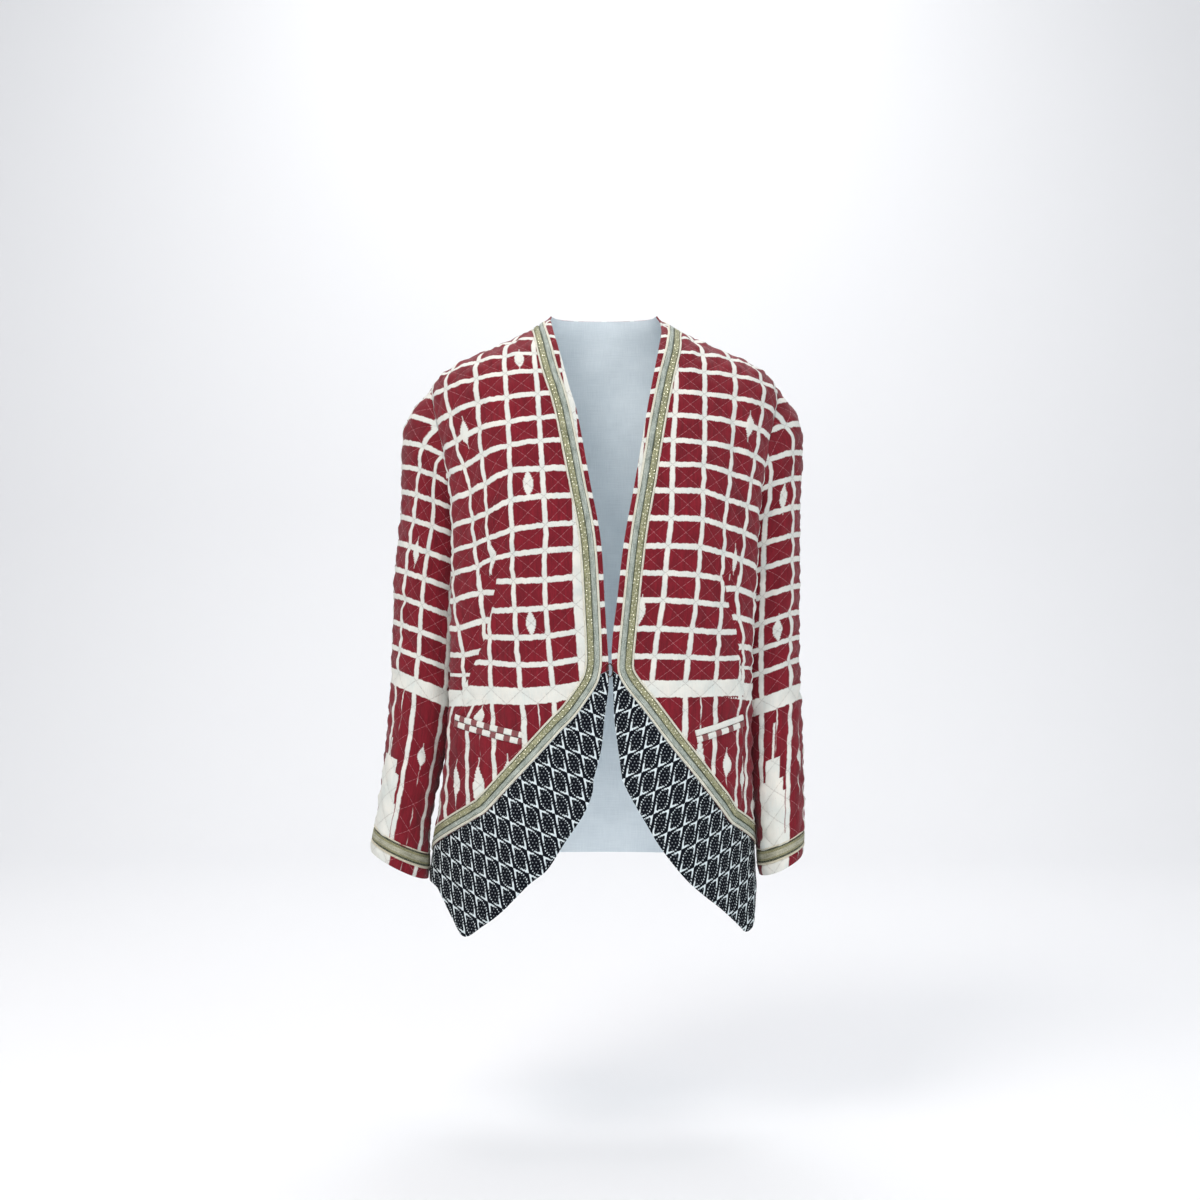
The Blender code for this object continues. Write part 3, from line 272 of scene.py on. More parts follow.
# How far the level lines hang below their row's height at each column, at some heights
DROPS = {
    "front_right": (
        (-0.4232, (-0.0090, -0.0034, 0.0000, -0.0011, 0.0023, 0.0045)),
        (-0.3940, (-0.0068, -0.0011, 0.0000, -0.0023, 0.0147, 0.0203)),
        (-0.3636, (-0.0079, -0.0023, 0.0000, -0.0011, 0.0136, 0.0215)),
        (-0.3322, (-0.0068, -0.0023, 0.0000, 0.0011, 0.0113, 0.0226)),
        (-0.2998, (-0.0045, -0.0011, 0.0000, 0.0000, 0.0136, 0.0215)),
        (-0.2719, (-0.0056, -0.0034, 0.0000, 0.0056, 0.0136, 0.0215)),
        (-0.2429, (-0.0079, -0.0056, 0.0000, 0.0113, 0.0181, 0.0271)),
        (-0.2094, (-0.0056, -0.0045, 0.0000, 0.0158, 0.0237, 0.0305)),
        (-0.1757, (-0.0023, -0.0011, 0.0000, 0.0136, 0.0215, 0.0294)),
        (-0.1474, (-0.0056, -0.0045, 0.0000, 0.0079, 0.0192, 0.0271)),
        (-0.1210, (-0.0068, -0.0045, 0.0000, 0.0045, 0.0169, 0.0249)),
        (-0.0597, (-0.0034, -0.0023, 0.0000, 0.0045, 0.0136, 0.0203)),
    ),
    "front_left": (
        (-0.4145, (0.0000, 0.0000, 0.0000, 0.0045, 0.0068)),
        (-0.3852, (-0.0011, 0.0000, 0.0023, 0.0203, 0.0237)),
        (-0.3232, (-0.0023, 0.0000, 0.0034, 0.0169, 0.0237)),
        (-0.2930, (-0.0023, 0.0000, 0.0045, 0.0136, 0.0237)),
        (-0.2617, (-0.0011, 0.0000, 0.0068, 0.0136, 0.0249)),
        (-0.1991, (0.0000, 0.0000, 0.0090, 0.0147, 0.0226)),
        (-0.1698, (0.0000, 0.0000, 0.0068, 0.0136, 0.0226)),
        (-0.1448, (-0.0023, 0.0000, 0.0034, 0.0102, 0.0203)),
        (-0.0869, (-0.0023, 0.0000, 0.0023, 0.0068, 0.0147)),
    ),
}
# The waist darts, which take in the cloth between two columns, and the first column past each
DARTS = {
    "front_right": (
        4,
        ((-0.1232, -0.2928), (-0.1310, -0.3312), (-0.1390, -0.3618), (-0.1526, -0.3894),
         (-0.1704, -0.4242), (-0.1737, -0.4346)),
    ),
    "front_left": (
        3,
        ((0.1379, -0.2927), (0.1465, -0.3210), (0.1554, -0.3415), (0.1617, -0.3668),
         (0.1669, -0.4013), (0.1694, -0.4324)),
    ),
}
DART_DIP = 0.0010
DART_DIP_REACH = 0.0022
# Cream spindles woven into the cells, as (column, row, half width, half height) in cells
SPINDLES = {
    "front_right": (
        (1.50, 2.50, 0.17, 0.64), (1.45, 7.50, 0.17, 0.64), (1.50, 12.70, 0.17, 0.64),
        (2.90, 5.20, 0.17, 0.64), (3.55, 10.10, 0.17, 0.64), (2.55, -3.20, 0.20, 0.90),
        (3.55, -3.60, 0.20, 1.15), (4.50, -3.40, 0.16, 0.90), (3.52, -0.95, 0.22, 0.42),
        (4.52, -5.60, 0.16, 0.80), (5.50, -4.40, 0.16, 0.80),
    ),
    "front_left": (
        (2.57, 10.00, 0.17, 0.64), (2.60, 4.90, 0.17, 0.64), (-0.66, 2.60, 0.17, 0.64),
        (2.50, -3.00, 0.17, 0.66), (1.50, -3.20, 0.20, 1.70), (3.60, -3.40, 0.22, 0.80),
        (2.40, -5.40, 0.17, 0.90), (3.40, -5.90, 0.20, 0.90), (4.60, -4.60, 0.20, 0.80),
    ),
    "back": (
        (-1.50, 2.50, 0.17, 0.64), (-1.50, 7.50, 0.17, 0.64), (-4.50, 2.50, 0.17, 0.64),
        (-4.50, 7.50, 0.17, 0.64), (1.50, 5.00, 0.17, 0.64), (1.50, 10.00, 0.17, 0.64),
        (4.50, 5.00, 0.17, 0.64), (-1.50, 12.50, 0.17, 0.64), (-2.50, -3.00, 0.17, 0.75),
        (2.50, -3.60, 0.17, 0.75),
    ),
    "sleeve_right": (
        (0.95, 10.10, 0.17, 0.64), (1.45, 4.85, 0.17, 0.64), (2.50, -2.70, 0.16, 0.52),
        (-1.50, 7.50, 0.17, 0.64), (-2.50, 2.50, 0.17, 0.64),
    ),
    "sleeve_left": (
        (1.45, 7.45, 0.17, 0.64), (1.50, 2.55, 0.17, 0.64), (0.45, -2.70, 0.16, 0.52),
        (-1.50, 5.00, 0.17, 0.64), (-2.50, 9.50, 0.17, 0.64),
    ),
}
# A spindle's half width at each share of its half height out from the middle
SPINDLE_STEPS = (
    (0.0, 1.0), (0.18, 0.86), (0.32, 0.68), (0.45, 0.48), (0.56, 0.32), (0.66, 0.16), (0.97, 0.0),
)
# Stepped cream trees standing on the cuff, as (column, half width) of steps down from each row
TREES = {
    "sleeve_right": (
        1.15, ((-2.48, 0.05), (-3.20, 0.50), (-3.70, 0.68), (-4.80, 0.76), (-6.10, 0.80)),
    ),
    "sleeve_left": (
        1.58, ((-1.00, 0.05), (-2.30, 0.26), (-3.10, 0.41), (-3.60, 0.49), (-5.20, 0.64)),
    ),
}
TREE_FOOT_ROW = -8.5
EVEN_PITCH = (QUILT_ACROSS, QUILT_UP)

# Above this height the cloth leans back over the shoulder, so it is longer than it looks
LEAN_FROM_Z = -0.120
LEAN_GAIN = 0.30

# Rings of each sleeve's outer face, from the cap down to the hem, for the side's own outer
# direction. The tilt lifts the outer side of a ring, in degrees.
RING_COLUMNS = "x y z half_width half_depth tilt".split()
SLEEVE_RINGS = {
    "right": (
        (0.1955, 0.026, -0.174, 0.0745, 0.0500, 54.0),
        (0.1965, 0.032, -0.226, 0.0500, 0.0520, 18.0),
        (0.2050, 0.033, -0.300, 0.0475, 0.0510, 5.0),
        (0.2100, 0.028, -0.380, 0.0445, 0.0490, 2.0),
        (0.2175, 0.012, -0.460, 0.0390, 0.0460, 2.0),
        (0.2285, -0.006, -0.530, 0.0330, 0.0430, 6.0),
        (0.2360, -0.018, -0.580, 0.0315, 0.0400, 14.0),
        (0.2390, -0.030, -0.6295, 0.0380, 0.0370, 26.0),
    ),
    "left": (
        (0.1935, 0.026, -0.174, 0.0735, 0.0500, 54.0),
        (0.1915, 0.031, -0.226, 0.0455, 0.0500, 15.0),
        (0.1910, 0.032, -0.300, 0.0445, 0.0490, 4.0),
        (0.1920, 0.028, -0.380, 0.0425, 0.0480, 0.0),
        (0.1975, 0.012, -0.460, 0.0380, 0.0460, 0.0),
        (0.2030, -0.006, -0.530, 0.0325, 0.0430, 3.0),
        (0.2065, -0.018, -0.580, 0.0285, 0.0420, 12.0),
        (0.2068, -0.030, -0.6290, 0.0287, 0.0410, 26.0),
    ),
}
SLEEVE_COLUMNS_ROUND = 96
OVAL_HALF = 180
RING_PARTS = 10
# The largest soft folds of each piece: the middle in the cloth's coordinates, its length and
# width, its direction in degrees from across, and how far it stands out or sinks in.
FOLD_COLUMNS = "u v length width direction depth".split()
FOLDS = {
    "front_right": (
        (-0.158, -0.150, 0.110, 0.020, 78, -0.0030),
        (-0.128, -0.235, 0.090, 0.022, 55, 0.0022),
        (-0.150, -0.370, 0.120, 0.018, 82, -0.0026),
        (-0.085, -0.400, 0.070, 0.020, 35, -0.0018),
        (-0.150, -0.545, 0.090, 0.020, 100, 0.0022),
    ),
    "front_left": (
        (0.160, -0.160, 0.105, 0.020, 100, -0.0030),
        (0.128, -0.250, 0.080, 0.022, 128, 0.0020),
        (0.152, -0.360, 0.110, 0.018, 96, -0.0024),
        (0.090, -0.395, 0.060, 0.020, 148, -0.0016),
        (0.150, -0.520, 0.080, 0.020, 82, 0.0020),
    ),
    "back": (
        (-0.120, -0.190, 0.130, 0.024, 70, -0.0030),
        (0.125, -0.200, 0.120, 0.024, 112, -0.0028),
        (-0.050, -0.390, 0.140, 0.022, 4, -0.0030),
        (0.060, -0.415, 0.120, 0.022, 175, -0.0026),
        (-0.070, -0.540, 0.150, 0.026, 86, 0.0034),
        (0.080, -0.550, 0.140, 0.026, 95, 0.0030),
    ),
    "sleeve_right": (
        (0.035, 0.300, 0.070, 0.014, 20, -0.0026),
        (0.055, 0.255, 0.080, 0.014, -12, -0.0030),
        (0.020, 0.210, 0.060, 0.013, 15, -0.0020),
        (-0.060, 0.270, 0.080, 0.016, 8, -0.0028),
        (0.040, 0.440, 0.080, 0.018, 60, -0.0022),
        (-0.050, 0.430, 0.090, 0.018, -58, -0.0024),
    ),
    "sleeve_left": (
        (0.040, 0.290, 0.070, 0.014, -18, -0.0024),
        (0.050, 0.240, 0.080, 0.014, 14, -0.0028),
        (0.025, 0.190, 0.055, 0.013, -10, -0.0018),
        (-0.055, 0.260, 0.080, 0.016, -6, -0.0026),
        (0.040, 0.450, 0.080, 0.018, -60, -0.0022),
        (-0.050, 0.435, 0.090, 0.018, 56, -0.0022),
    ),
}
SEAM_HEIGHT = 0.3
LOOP_STATIONS = 64
# Where the sleeve passes back under the arm it starts this far outside the body's wall
UNDERARM_STAND_OFF = 0.0078

# Laid bands, over the cloth that they lie on
STRIP_FOOT = 0.0004
BRAID_SAMPLES = 33
WELT_PROFILE = (0.5, 0.56)
WELT_END = 0.0015
WELT_SAMPLES = 11
WELT_HEIGHT = 0.0026
SHARP_ANGLE = 60
# Ridges across a braid, as (middle, half width, height over the cloth) for its width of 1
BRAID_RIDGES = (
    (0.065, 0.066, 0.0019), (0.345, 0.180, 0.0018), (0.735, 0.170, 0.0020), (0.950, 0.056, 0.0020),
)
CUFF_RIDGES = (
    (0.040, 0.045, 0.0018), (0.500, 0.400, 0.0015), (0.960, 0.045, 0.0018),
)
# Stripes across a braid, each as (where it ends in mm, darkest, lightest colour)
BRAID_BANDS = (
    (2.4, (216, 212, 192), (250, 248, 232)),
    (3.0, (48, 56, 42), (98, 106, 80)),
    (9.4, (96, 100, 70), (196, 194, 152)),
    (10.5, (44, 52, 40), (92, 100, 76)),
    (15.8, (106, 120, 110), (214, 222, 212)),
    (16.4, (44, 52, 40), (92, 100, 76)),
    (99.0, (216, 212, 192), (250, 248, 232)),
)
CUFF_BANDS = (
    (1.6, (205, 196, 172), (246, 240, 220)),
    (3.6, (40, 46, 34), (88, 94, 72)),
    (6.4, (112, 110, 80), (176, 172, 130)),
    (12.0, (136, 136, 116), (212, 210, 186)),
    (14.0, (112, 110, 80), (176, 172, 130)),
    (16.4, (40, 46, 34), (88, 94, 72)),
    (99.0, (205, 196, 172), (246, 240, 220)),
)
GLINT = (238, 236, 212)
STRIPE_BLUR = 0.25
SEQUIN_SEED = 11
SEQUIN_SIDES = 7
SEQUIN_DRIFT = 0.3
SEQUIN_TILT = 0.22
SEQUIN_CUP = 0.25
SEQUIN_RIM = 0.05
SEQUIN_WANDER = 0.05
SEQUIN_SIDEWAYS = (0.3, 0.2, 0.93)
# Rows of sequins along a front braid, as (place across, spacing, lift, radius)
SEQUIN_ROWS = ((0.26, 0.0046, 0.0019, 0.0008), (0.42, 0.0052, 0.0019, 0.0008))
WELT_REPEAT = 18.0
WELT_CREAM_SHARE = 0.55
# How strong each welt's crimson blocks are
WELT_BLOCKS = {
    "right": {"upper": 0.9, "lower": 0.9},
    "left": {"upper": 0.0, "lower": 0.9},
}

# What the cloth's own coordinates are multiplied by for millimetres, in metres and in cells
MILLIMETRES = (1000.0, 1000.0)
CELL_MILLIMETRES = (EVEN_PITCH[0] * 1000, EVEN_PITCH[1] * 1000)
# Print and weave: line widths and blur in cells, and colours from 0 to 255
BESIDE_BRAID = -0.24
LINE_LEVEL = 0.205
LINE_UPRIGHT = 0.155
LINE_BLUR = 0.030
BAND_MIDDLE = -0.20
BAND_HALF = 0.315
BAND_FOOT = -0.15
STITCH_HALF = 0.012
STITCH_BLUR = 0.008
STITCHES = 9.0
STITCH_SHARE = 0.80
SPECK_SHARE = 0.75
TONE_ROUGHNESS = 0.55
# Layers of noise, each as (grain across, grain along in mm, seed, strength)
COLUMN_DRIFT = ((9.0, 7.0, 3.0, 0.05), (2.0, 3.2, 9.0, 0.025))
ROW_DRIFT = ((6.5, 30.0, 5.0, 0.11), (1.3, 12.0, 7.0, 0.045))
RED_CLOUDS = ((3.5, 60.0, 13.0, 0.9), (45.0, 60.0, 15.0, 0.8))
CREAM_CLOUDS = ((25.0, 30.0, 17.0, 1.2),)
LINING_CLOUDS = ((50.0, 50.0, 7.0, 1.0),)
NET_DRIFT = ((14.0, 14.0, 5.0, 1.6),)
NET_JITTER = ((1.5, 8.0, 3.0, 3.4),)
BRAID_DRIFT = ((3.0, 6.0, 3.0, 0.5),)
BRAID_PATCHES = ((7.0, 16.0, 9.0, 1.1), (0.9, 15.0, 13.0, 1.32))
WELT_CLOUDS = ((6.0, 9.0, 5.0, 1.2),)
WELT_DRIFT = ((1.2, 3.0, 7.0, 0.10),)
RED_DARK = (84, 10, 22)
RED_LIGHT = (134, 22, 38)
CREAM_COOL = (198, 206, 202)
CREAM_WARM = (228, 222, 212)
SPECK = (120, 96, 92)
STITCH = (208, 132, 138)
STITCH_ON_CREAM = (150, 138, 134)
NAVY_DARK = (2, 5, 10)
NAVY_LIGHT = (11, 16, 27)
NET_COOL = (186, 202, 210)
NET_WARM = (232, 238, 236)
# The net's two steps from cell to cell, on the wearer's left, and the directions of a leaf's sides
NET_ACROSS = (18.0, 5.9)
NET_DOWN = (-2.3, -25.9)
LEAF_STEEP = math.radians(79.0)
LEAF_SHALLOW = math.radians(23.0)
# How far a leaf's blunt corners are cut, its solid tips, and its arms, in millimetres
LEAF_CUTS = (5.5, 4.6)
LEAF_CUT_SLOPE = 0.6
LEAF_TIP = 6.0
# Each arm as (width, length, how softly it ends)
LEAF_STEEP_ARM = (1.9, 10.5, 3.0)
LEAF_SHALLOW_ARM = (1.8, 9.0, 2.5)
LEAF_BLUR = 0.6
RING_SPACING = 3.3
RING_WIDTH = 1.7
# The dots in a leaf's middle: their steps across and up, and how strong they are
CORE_ACROSS = 4.0
CORE_UP = 3.6
CORE_INSET = 2.8
CORE_SHARE = 0.34
LINING_DARK = (216, 226, 232)
LINING_LIGHT = (240, 248, 252)
# Wear of metal and foil
WEAR_SCALE = 900.0
WEAR_DEPTH = 0.00004

# The studio
FLOOR_Z = -0.95
FLOOR_BACK = 2.90
FLOOR_CURVE = 0.90
FLOOR_REACH = 6.0
FLOOR_COLOUR = (0.86, 0.86, 0.87, 1)
FLOOR_ARC = 24
FLOOR_ROUGHNESS = 0.9
# Each light as (name, place, target, size, power, colour)
LIGHTS = (
    ("key", (-1.1, -1.3, 1.5), (0, 0, -0.3), 1.1, 28.0, (1.0, 0.95, 0.91)),
    ("fill", (1.7, -1.6, 0.3), (0, 0, -0.35), 2.0, 11.5, (0.93, 0.97, 1.0)),
    ("front", (0.0, -2.3, 0.25), (0, 0, -0.3), 1.2, 13.0, (0.97, 0.985, 1.0)),
    ("top", (0.1, 0.4, 1.9), (0, 0, -0.3), 1.6, 16.0, (1.0, 1.0, 1.0)),
    ("wall", (0.0, 1.5, 2.1), (0, 2.9, -0.3), 1.6, 24.0, (1.0, 1.0, 1.0)),
)
WORLD_STRENGTH = 0.55
WORLD_COLOUR = (0.93, 0.96, 1.0, 1)
CAMERA_PLACE = (-0.00476, -1.9, -0.321)
CAMERA_LENS = 47.91
SENSOR_WIDTH = 36.0

# Side factor: the wearer's right lies at -X
SIDES = {"right": -1, "left": 1}


# Curves and surfaces


def catmull_rom(points, parts, before=None, after=None):
    """A smooth curve through the points, with this many parts to each span."""
    points = np.asarray(points, float)
    first = 2 * points[0] - points[1] if before is None else np.asarray(before, float)
    last = 2 * points[-1] - points[-2] if after is None else np.asarray(after, float)
    padded = np.concatenate([[first], points, [last]])
    t = np.linspace(0, 1, parts, endpoint=False).reshape((-1,) + (1,) * (points.ndim - 1))
    spans = []
    for a, b, c, d in zip(padded, padded[1:], padded[2:], padded[3:]):
        cubic = 2 * b + (c - a) * t
        cubic = cubic + (2 * a - 5 * b + 4 * c - d) * t**2
        spans.append((cubic + (3 * b - a - 3 * c + d) * t**3) / 2)
    return np.concatenate(spans + [points[-1:]])


def lengths_along(points):
    """The distance along a line of points, from its first one."""
    return np.concatenate([[0], np.cumsum(np.linalg.norm(np.diff(points, axis=0), axis=1))])


def spaced(points, parts):
    """The same line, as this many equal parts."""
    along = lengths_along(points)
    wanted = np.linspace(0, along[-1], parts + 1)
    return np.column_stack([np.interp(wanted, along, column) for column in np.transpose(points)])


def spaced_by(points, step):
    return spaced(points, max(1, round(lengths_along(points)[-1] / step)))


def smooth_table(rows, columns, at):
    """Each column of a table, as a smooth function of its first column, at these values."""
    table = np.array(rows, float)
    order = np.argsort(table[:, 0])
    table = table[order]
    key = table[:, 0]
    at = np.clip(at, key[0], key[-1])
    span = np.clip(np.searchsorted(key, at, side="right") - 1, 0, len(key) - 2)
    width = key[span + 1] - key[span]
    t = (at - key[span]) / width
    found = {columns[0]: at}
    for name, values in zip(columns[1:], table[:, 1:].T):
        slope = np.gradient(values, key)
        a, b = values[span], values[span + 1]
        start, end = slope[span] * width, slope[span + 1] * width
        cubic = (2 * t**3 - 3 * t**2 + 1) * a + (t**3 - 2 * t**2 + t) * start
        found[name] = cubic + (3 * t**2 - 2 * t**3) * b + (t**3 - t**2) * end
    return found


def half_section(row, widening):
    """One level section from the centre front round to the centre back, at +X, and its side."""
    corner_x = row["corner_x"] * widening
    points = [
        (0, row["front"]),
        (corner_x * CHEEK, row["cheek_y"]),
        (corner_x, row["corner_y"]),
        (row["side_x"] * widening, row["side_y"]),
        (row["blade_x"] * widening, row["blade_y"]),
        (0, row["back"]),
    ]
    mirror = np.array([-1, 1])
    curve = catmull_rom(points, SPAN_PARTS, before=points[1] * mirror, after=points[-2] * mirror)
    return spaced(curve, SECTION_PARTS), lengths_along(curve)[[3 * SPAN_PARTS, -1]]


class Body:
    """The body's outer face. A point on it is s, the distance round from the centre front with
    the wearer's left positive, and z, its height."""

    def __init__(self):
        count = round((HIGHEST_SECTION - LOWEST_SECTION) / SECTION_STEP)
        self.levels = np.linspace(HIGHEST_SECTION, LOWEST_SECTION, count + 1)
        rows = smooth_table(BODY_SECTIONS, BODY_COLUMNS, self.levels)
        widening = smooth_table(WIDENING, WIDENING_COLUMNS, self.levels)
        self.halves = {}
        self.side_at = {}
        self.round_half = {}
        for side in SIDES:
            sections, marks = [], []
            for i in range(len(self.levels)):
                row = {name: values[i] for name, values in rows.items()}
                section, mark = half_section(row, widening[side][i])
                sections.append(section)
                marks.append(mark)
            self.halves[side] = np.array(sections)
            self.side_at[side], self.round_half[side] = np.transpose(marks)

    def at_level(self, values, z):
        return np.interp(-np.asarray(z), -self.levels, values)

    def side_seam(self, side, z):
        """How far round the side seam is from the centre front."""
        return self.at_level(self.side_at[side], z)

    def half_round(self, side, z):
        return self.at_level(self.round_half[side], z)

    def point(self, s, z):
        s, z = np.broadcast_arrays(np.asarray(s, float), np.asarray(z, float))
        found = np.empty(s.shape + (3,))
        row = np.clip((HIGHEST_SECTION - z) / SECTION_STEP, 0, len(self.levels) - 1 - INSIDE)
        upper = row.astype(int)
        down = (row - upper)[..., None]
        for side, sign in SIDES.items():
            here = (s >= 0) if sign > 0 else (s < 0)
            along = np.abs(s) / self.half_round(side, z) * SECTION_PARTS
            along = np.clip(along, 0, SECTION_PARTS - INSIDE)
            left = along.astype(int)
            across = (along - left)[..., None]
            grid = self.halves[side]
            above = grid[upper, left] * (1 - across) + grid[upper, left + 1] * across
            below = grid[upper + 1, left] * (1 - across) + grid[upper + 1, left + 1] * across
            flat = above * (1 - down) + below * down
            found[here, 0] = sign * flat[here, 0]
            found[here, 1] = flat[here, 1]
        found[..., 2] = z
        return found

    def seen_at(self, x, z):
        """How far round the point is that is seen from the front at this x."""
        side = "left" if x >= 0 else "right"
        row = min(max((HIGHEST_SECTION - z) / SECTION_STEP, 0), len(self.levels) - 1 - INSIDE)
        upper = int(row)
        parts = []
        for section in self.halves[side][upper : upper + 2]:
            widest = int(np.argmax(section[: SECTION_PARTS // 2, 0]))
            parts.append(np.interp(abs(x), section[: widest + 1, 0], np.arange(widest + 1)))
        part = parts[0] + (parts[1] - parts[0]) * (row - upper)
        return math.copysign(part / SECTION_PARTS * float(self.half_round(side, z)), x)


def cloth_height(z):
    """The height of a point on the body along the cloth, which leans back at the shoulder."""
    above = np.maximum(np.asarray(z, float) - LEAN_FROM_Z, 0)
    return z + LEAN_GAIN * above**2 / (-2 * LEAN_FROM_Z)


def body_height(v):
    levels = np.linspace(LOWEST_SECTION, HIGHEST_SECTION, HEIGHT_STATIONS)
    return np.interp(v, cloth_height(levels), levels)


def front_surface(body):
    """From the cloth's own coordinates on a front to a point."""
    return lambda uv: body.point(uv[:, 0], body_height(uv[:, 1]))


def back_surface(body):
    """The same for the back, where across the cloth is counted from the centre back."""

    def point(uv):
        u, z = uv[:, 0], body_height(uv[:, 1])
        half = np.where(u >= 0, body.half_round("left", z), body.half_round("right", z))
        return body.point(np.where(u >= 0, half - u, -half - u), z)

    return point


def normals_of(surface, uv, outward_from, step=NORMAL_STEP):
    """Unit normals of a surface, turned away from the middle points that outward_from gives."""
    across = surface(uv + [step, 0]) - surface(uv - [step, 0])
    upward = surface(uv + [0, step]) - surface(uv - [0, step])
    normal = np.cross(across, upward)
    normal /= np.linalg.norm(normal, axis=1)[:, None] + 1e-12
    points = surface(uv)
    inward = np.sum(normal * (points - outward_from(points)), axis=1) < 0
    normal[inward] *= -1
    return normal


def body_middle(points):
    """The middle line of the body, below the shoulders, which its outer face turns away from."""
    middle = points * [MIDDLE_SHARE, 0, 1]
    middle[:, 1] = MIDDLE_Y
    middle[:, 2] -= MIDDLE_DROP * np.maximum(points[:, 2] - MIDDLE_DROP_FROM_Z, 0)
    return middle


class Sleeve:
    """A sleeve's outer face, as rings from the armhole to the hem. A point on it is u, the
    distance round from the outer line with the front positive, and v, the height above the hem."""

    def __init__(self, side, loop):
        sign = SIDES[side]
        fractions = np.linspace(-0.5, 0.5, SLEEVE_COLUMNS_ROUND + 1)
        rings = [loop(fractions)]
        for row in SLEEVE_RINGS[side]:
            ring = dict(zip(RING_COLUMNS, row))
            angle = np.linspace(-math.pi, math.pi, 2 * OVAL_HALF + 1)
            outward = ring["half_width"] * np.cos(angle)
            forward = -ring["half_depth"] * np.sin(angle)
            tilt = math.radians(ring["tilt"])
            oval = np.column_stack([
                sign * (ring["x"] + outward * math.cos(tilt)),
                ring["y"] + forward,
                ring["z"] + outward * math.sin(tilt),
            ])
            half = SLEEVE_COLUMNS_ROUND // 2
            back, front = spaced(oval[: OVAL_HALF + 1], half), spaced(oval[OVAL_HALF:], half)
            rings.append(np.concatenate([back, front[1:]]))
        self.fractions = fractions
        self.paths = catmull_rom(np.array(rings), RING_PARTS)
        self.centres = self.paths.mean(axis=1)
        steps = np.linalg.norm(np.diff(self.paths[::-1], axis=0), axis=2)
        self.heights = np.concatenate([np.zeros((1, steps.shape[1])), np.cumsum(steps, axis=0)])[::-1]
        round_each = np.linalg.norm(np.diff(self.paths, axis=1), axis=2).sum(axis=1)
        middle_height = self.heights[:, SLEEVE_COLUMNS_ROUND // 4]
        widest = int(np.argmax(middle_height < self.heights[0].min()))
        round_each[:widest] = round_each[widest]
        self.round_heights = middle_height[::-1]
        self.rounds = round_each[::-1]

    def round_at(self, v):
        return np.interp(v, self.round_heights, self.rounds)

    def top(self, fraction):
        """The height of the armhole seam above the hem at this fraction of the way round."""
        return np.interp(fraction, self.fractions, self.heights[0])

    def point(self, uv):
        u, v = uv[:, 0], uv[:, 1]
        fraction = np.clip(u / self.round_at(v), -0.5, 0.5)
        along = (fraction + 0.5) * SLEEVE_COLUMNS_ROUND
        left = np.clip(along.astype(int), 0, SLEEVE_COLUMNS_ROUND - 1)
        part = along - left
        columns = np.empty((SLEEVE_COLUMNS_ROUND + 1, len(u), 3))
        for j in range(SLEEVE_COLUMNS_ROUND + 1):
            for axis in range(3):
                columns[j, :, axis] = np.interp(v, self.heights[::-1, j], self.paths[::-1, j, axis])
        each = np.arange(len(u))
        return columns[left, each] * (1 - part)[:, None] + columns[left + 1, each] * part[:, None]

    def middle(self, points):
        nearest = np.argmin(np.linalg.norm(points[:, None] - self.centres[None], axis=2), axis=1)
        return self.centres[nearest]


# The print


def steps_between(marks, values):
    """Where each value lies between the marks, which run upward, going on evenly past both ends."""
    marks = np.asarray(marks)
    place = np.interp(values, marks, np.arange(len(marks)))
    place = place + np.minimum(values - marks[0], 0) / (marks[1] - marks[0])
    return place + np.maximum(values - marks[-1], 0) / (marks[-1] - marks[-2])


def place_between(marks, u):
    """Where u lies between the marks, which are arrays, going on at the even pitch past them."""
    place = np.minimum(u - marks[0], 0) / EVEN_PITCH[0]
    for low, high in zip(marks, marks[1:]):
        place = place + np.clip((u - low) / (high - low), 0, 1)
    return place + np.maximum(u - marks[-1], 0) / EVEN_PITCH[0]


def metric(uv, side_from=None):
    """The chart of a piece whose print is drawn in metres: its cloth coordinates as they are."""
    return uv


def chart_of(piece):
    """From a piece's cloth coordinates to columns and rows of its print."""
    heights = [row[0] for row in COLUMNS[piece]]
    table = np.array([row[1] for row in COLUMNS[piece]])
    sign = -1 if table[0, -1] < table[0, 0] else 1

    def chart(uv, side_from=None):
        """Each point's column and row, on the side of the dart that side_from lies on."""
        side_from = uv if side_from is None else side_from
        u, v = uv.T
        u = u * sign
        marks = [np.interp(v, heights, column) * sign for column in table.T]
        column = place_between(marks, u)
        low, high = np.zeros(len(u)), np.full(len(u), len(marks) - 1.0)
        if piece in DARTS:
            first, line = DARTS[piece]
            line = np.array(line)[::-1]
            height = side_from[:, 1]
            taken = (height < line[-1, 1]) & (height > line[0, 1])
            past = side_from[:, 0] * sign > np.interp(height, line[:, 1], line[:, 0]) * sign
            column = np.where(taken & ~past, place_between(marks[:first], u), column)
            column = np.where(taken & past, first + place_between(marks[first:], u), column)
            high[taken & ~past] = first - 1
            low[taken & past] = first
        drop = np.zeros(len(u))
        if piece in DROPS:
            levels = [row[0] for row in DROPS[piece]]
            drops = np.array([row[1] for row in DROPS[piece]])
            at = np.clip(column, low, high)
            for k, values in enumerate(drops.T):
                drop += np.interp(v, levels, values) * np.clip(1 - np.abs(at - k), 0, 1)
        v = v + drop
        below = np.minimum(v - ROWS[piece][0], 0)
        row = steps_between(ROWS[piece], np.maximum(v, ROWS[piece][0])) + below / EVEN_PITCH[1]
        return np.column_stack([column, row])

    return chart


# Panels cut in the cloth's coordinates


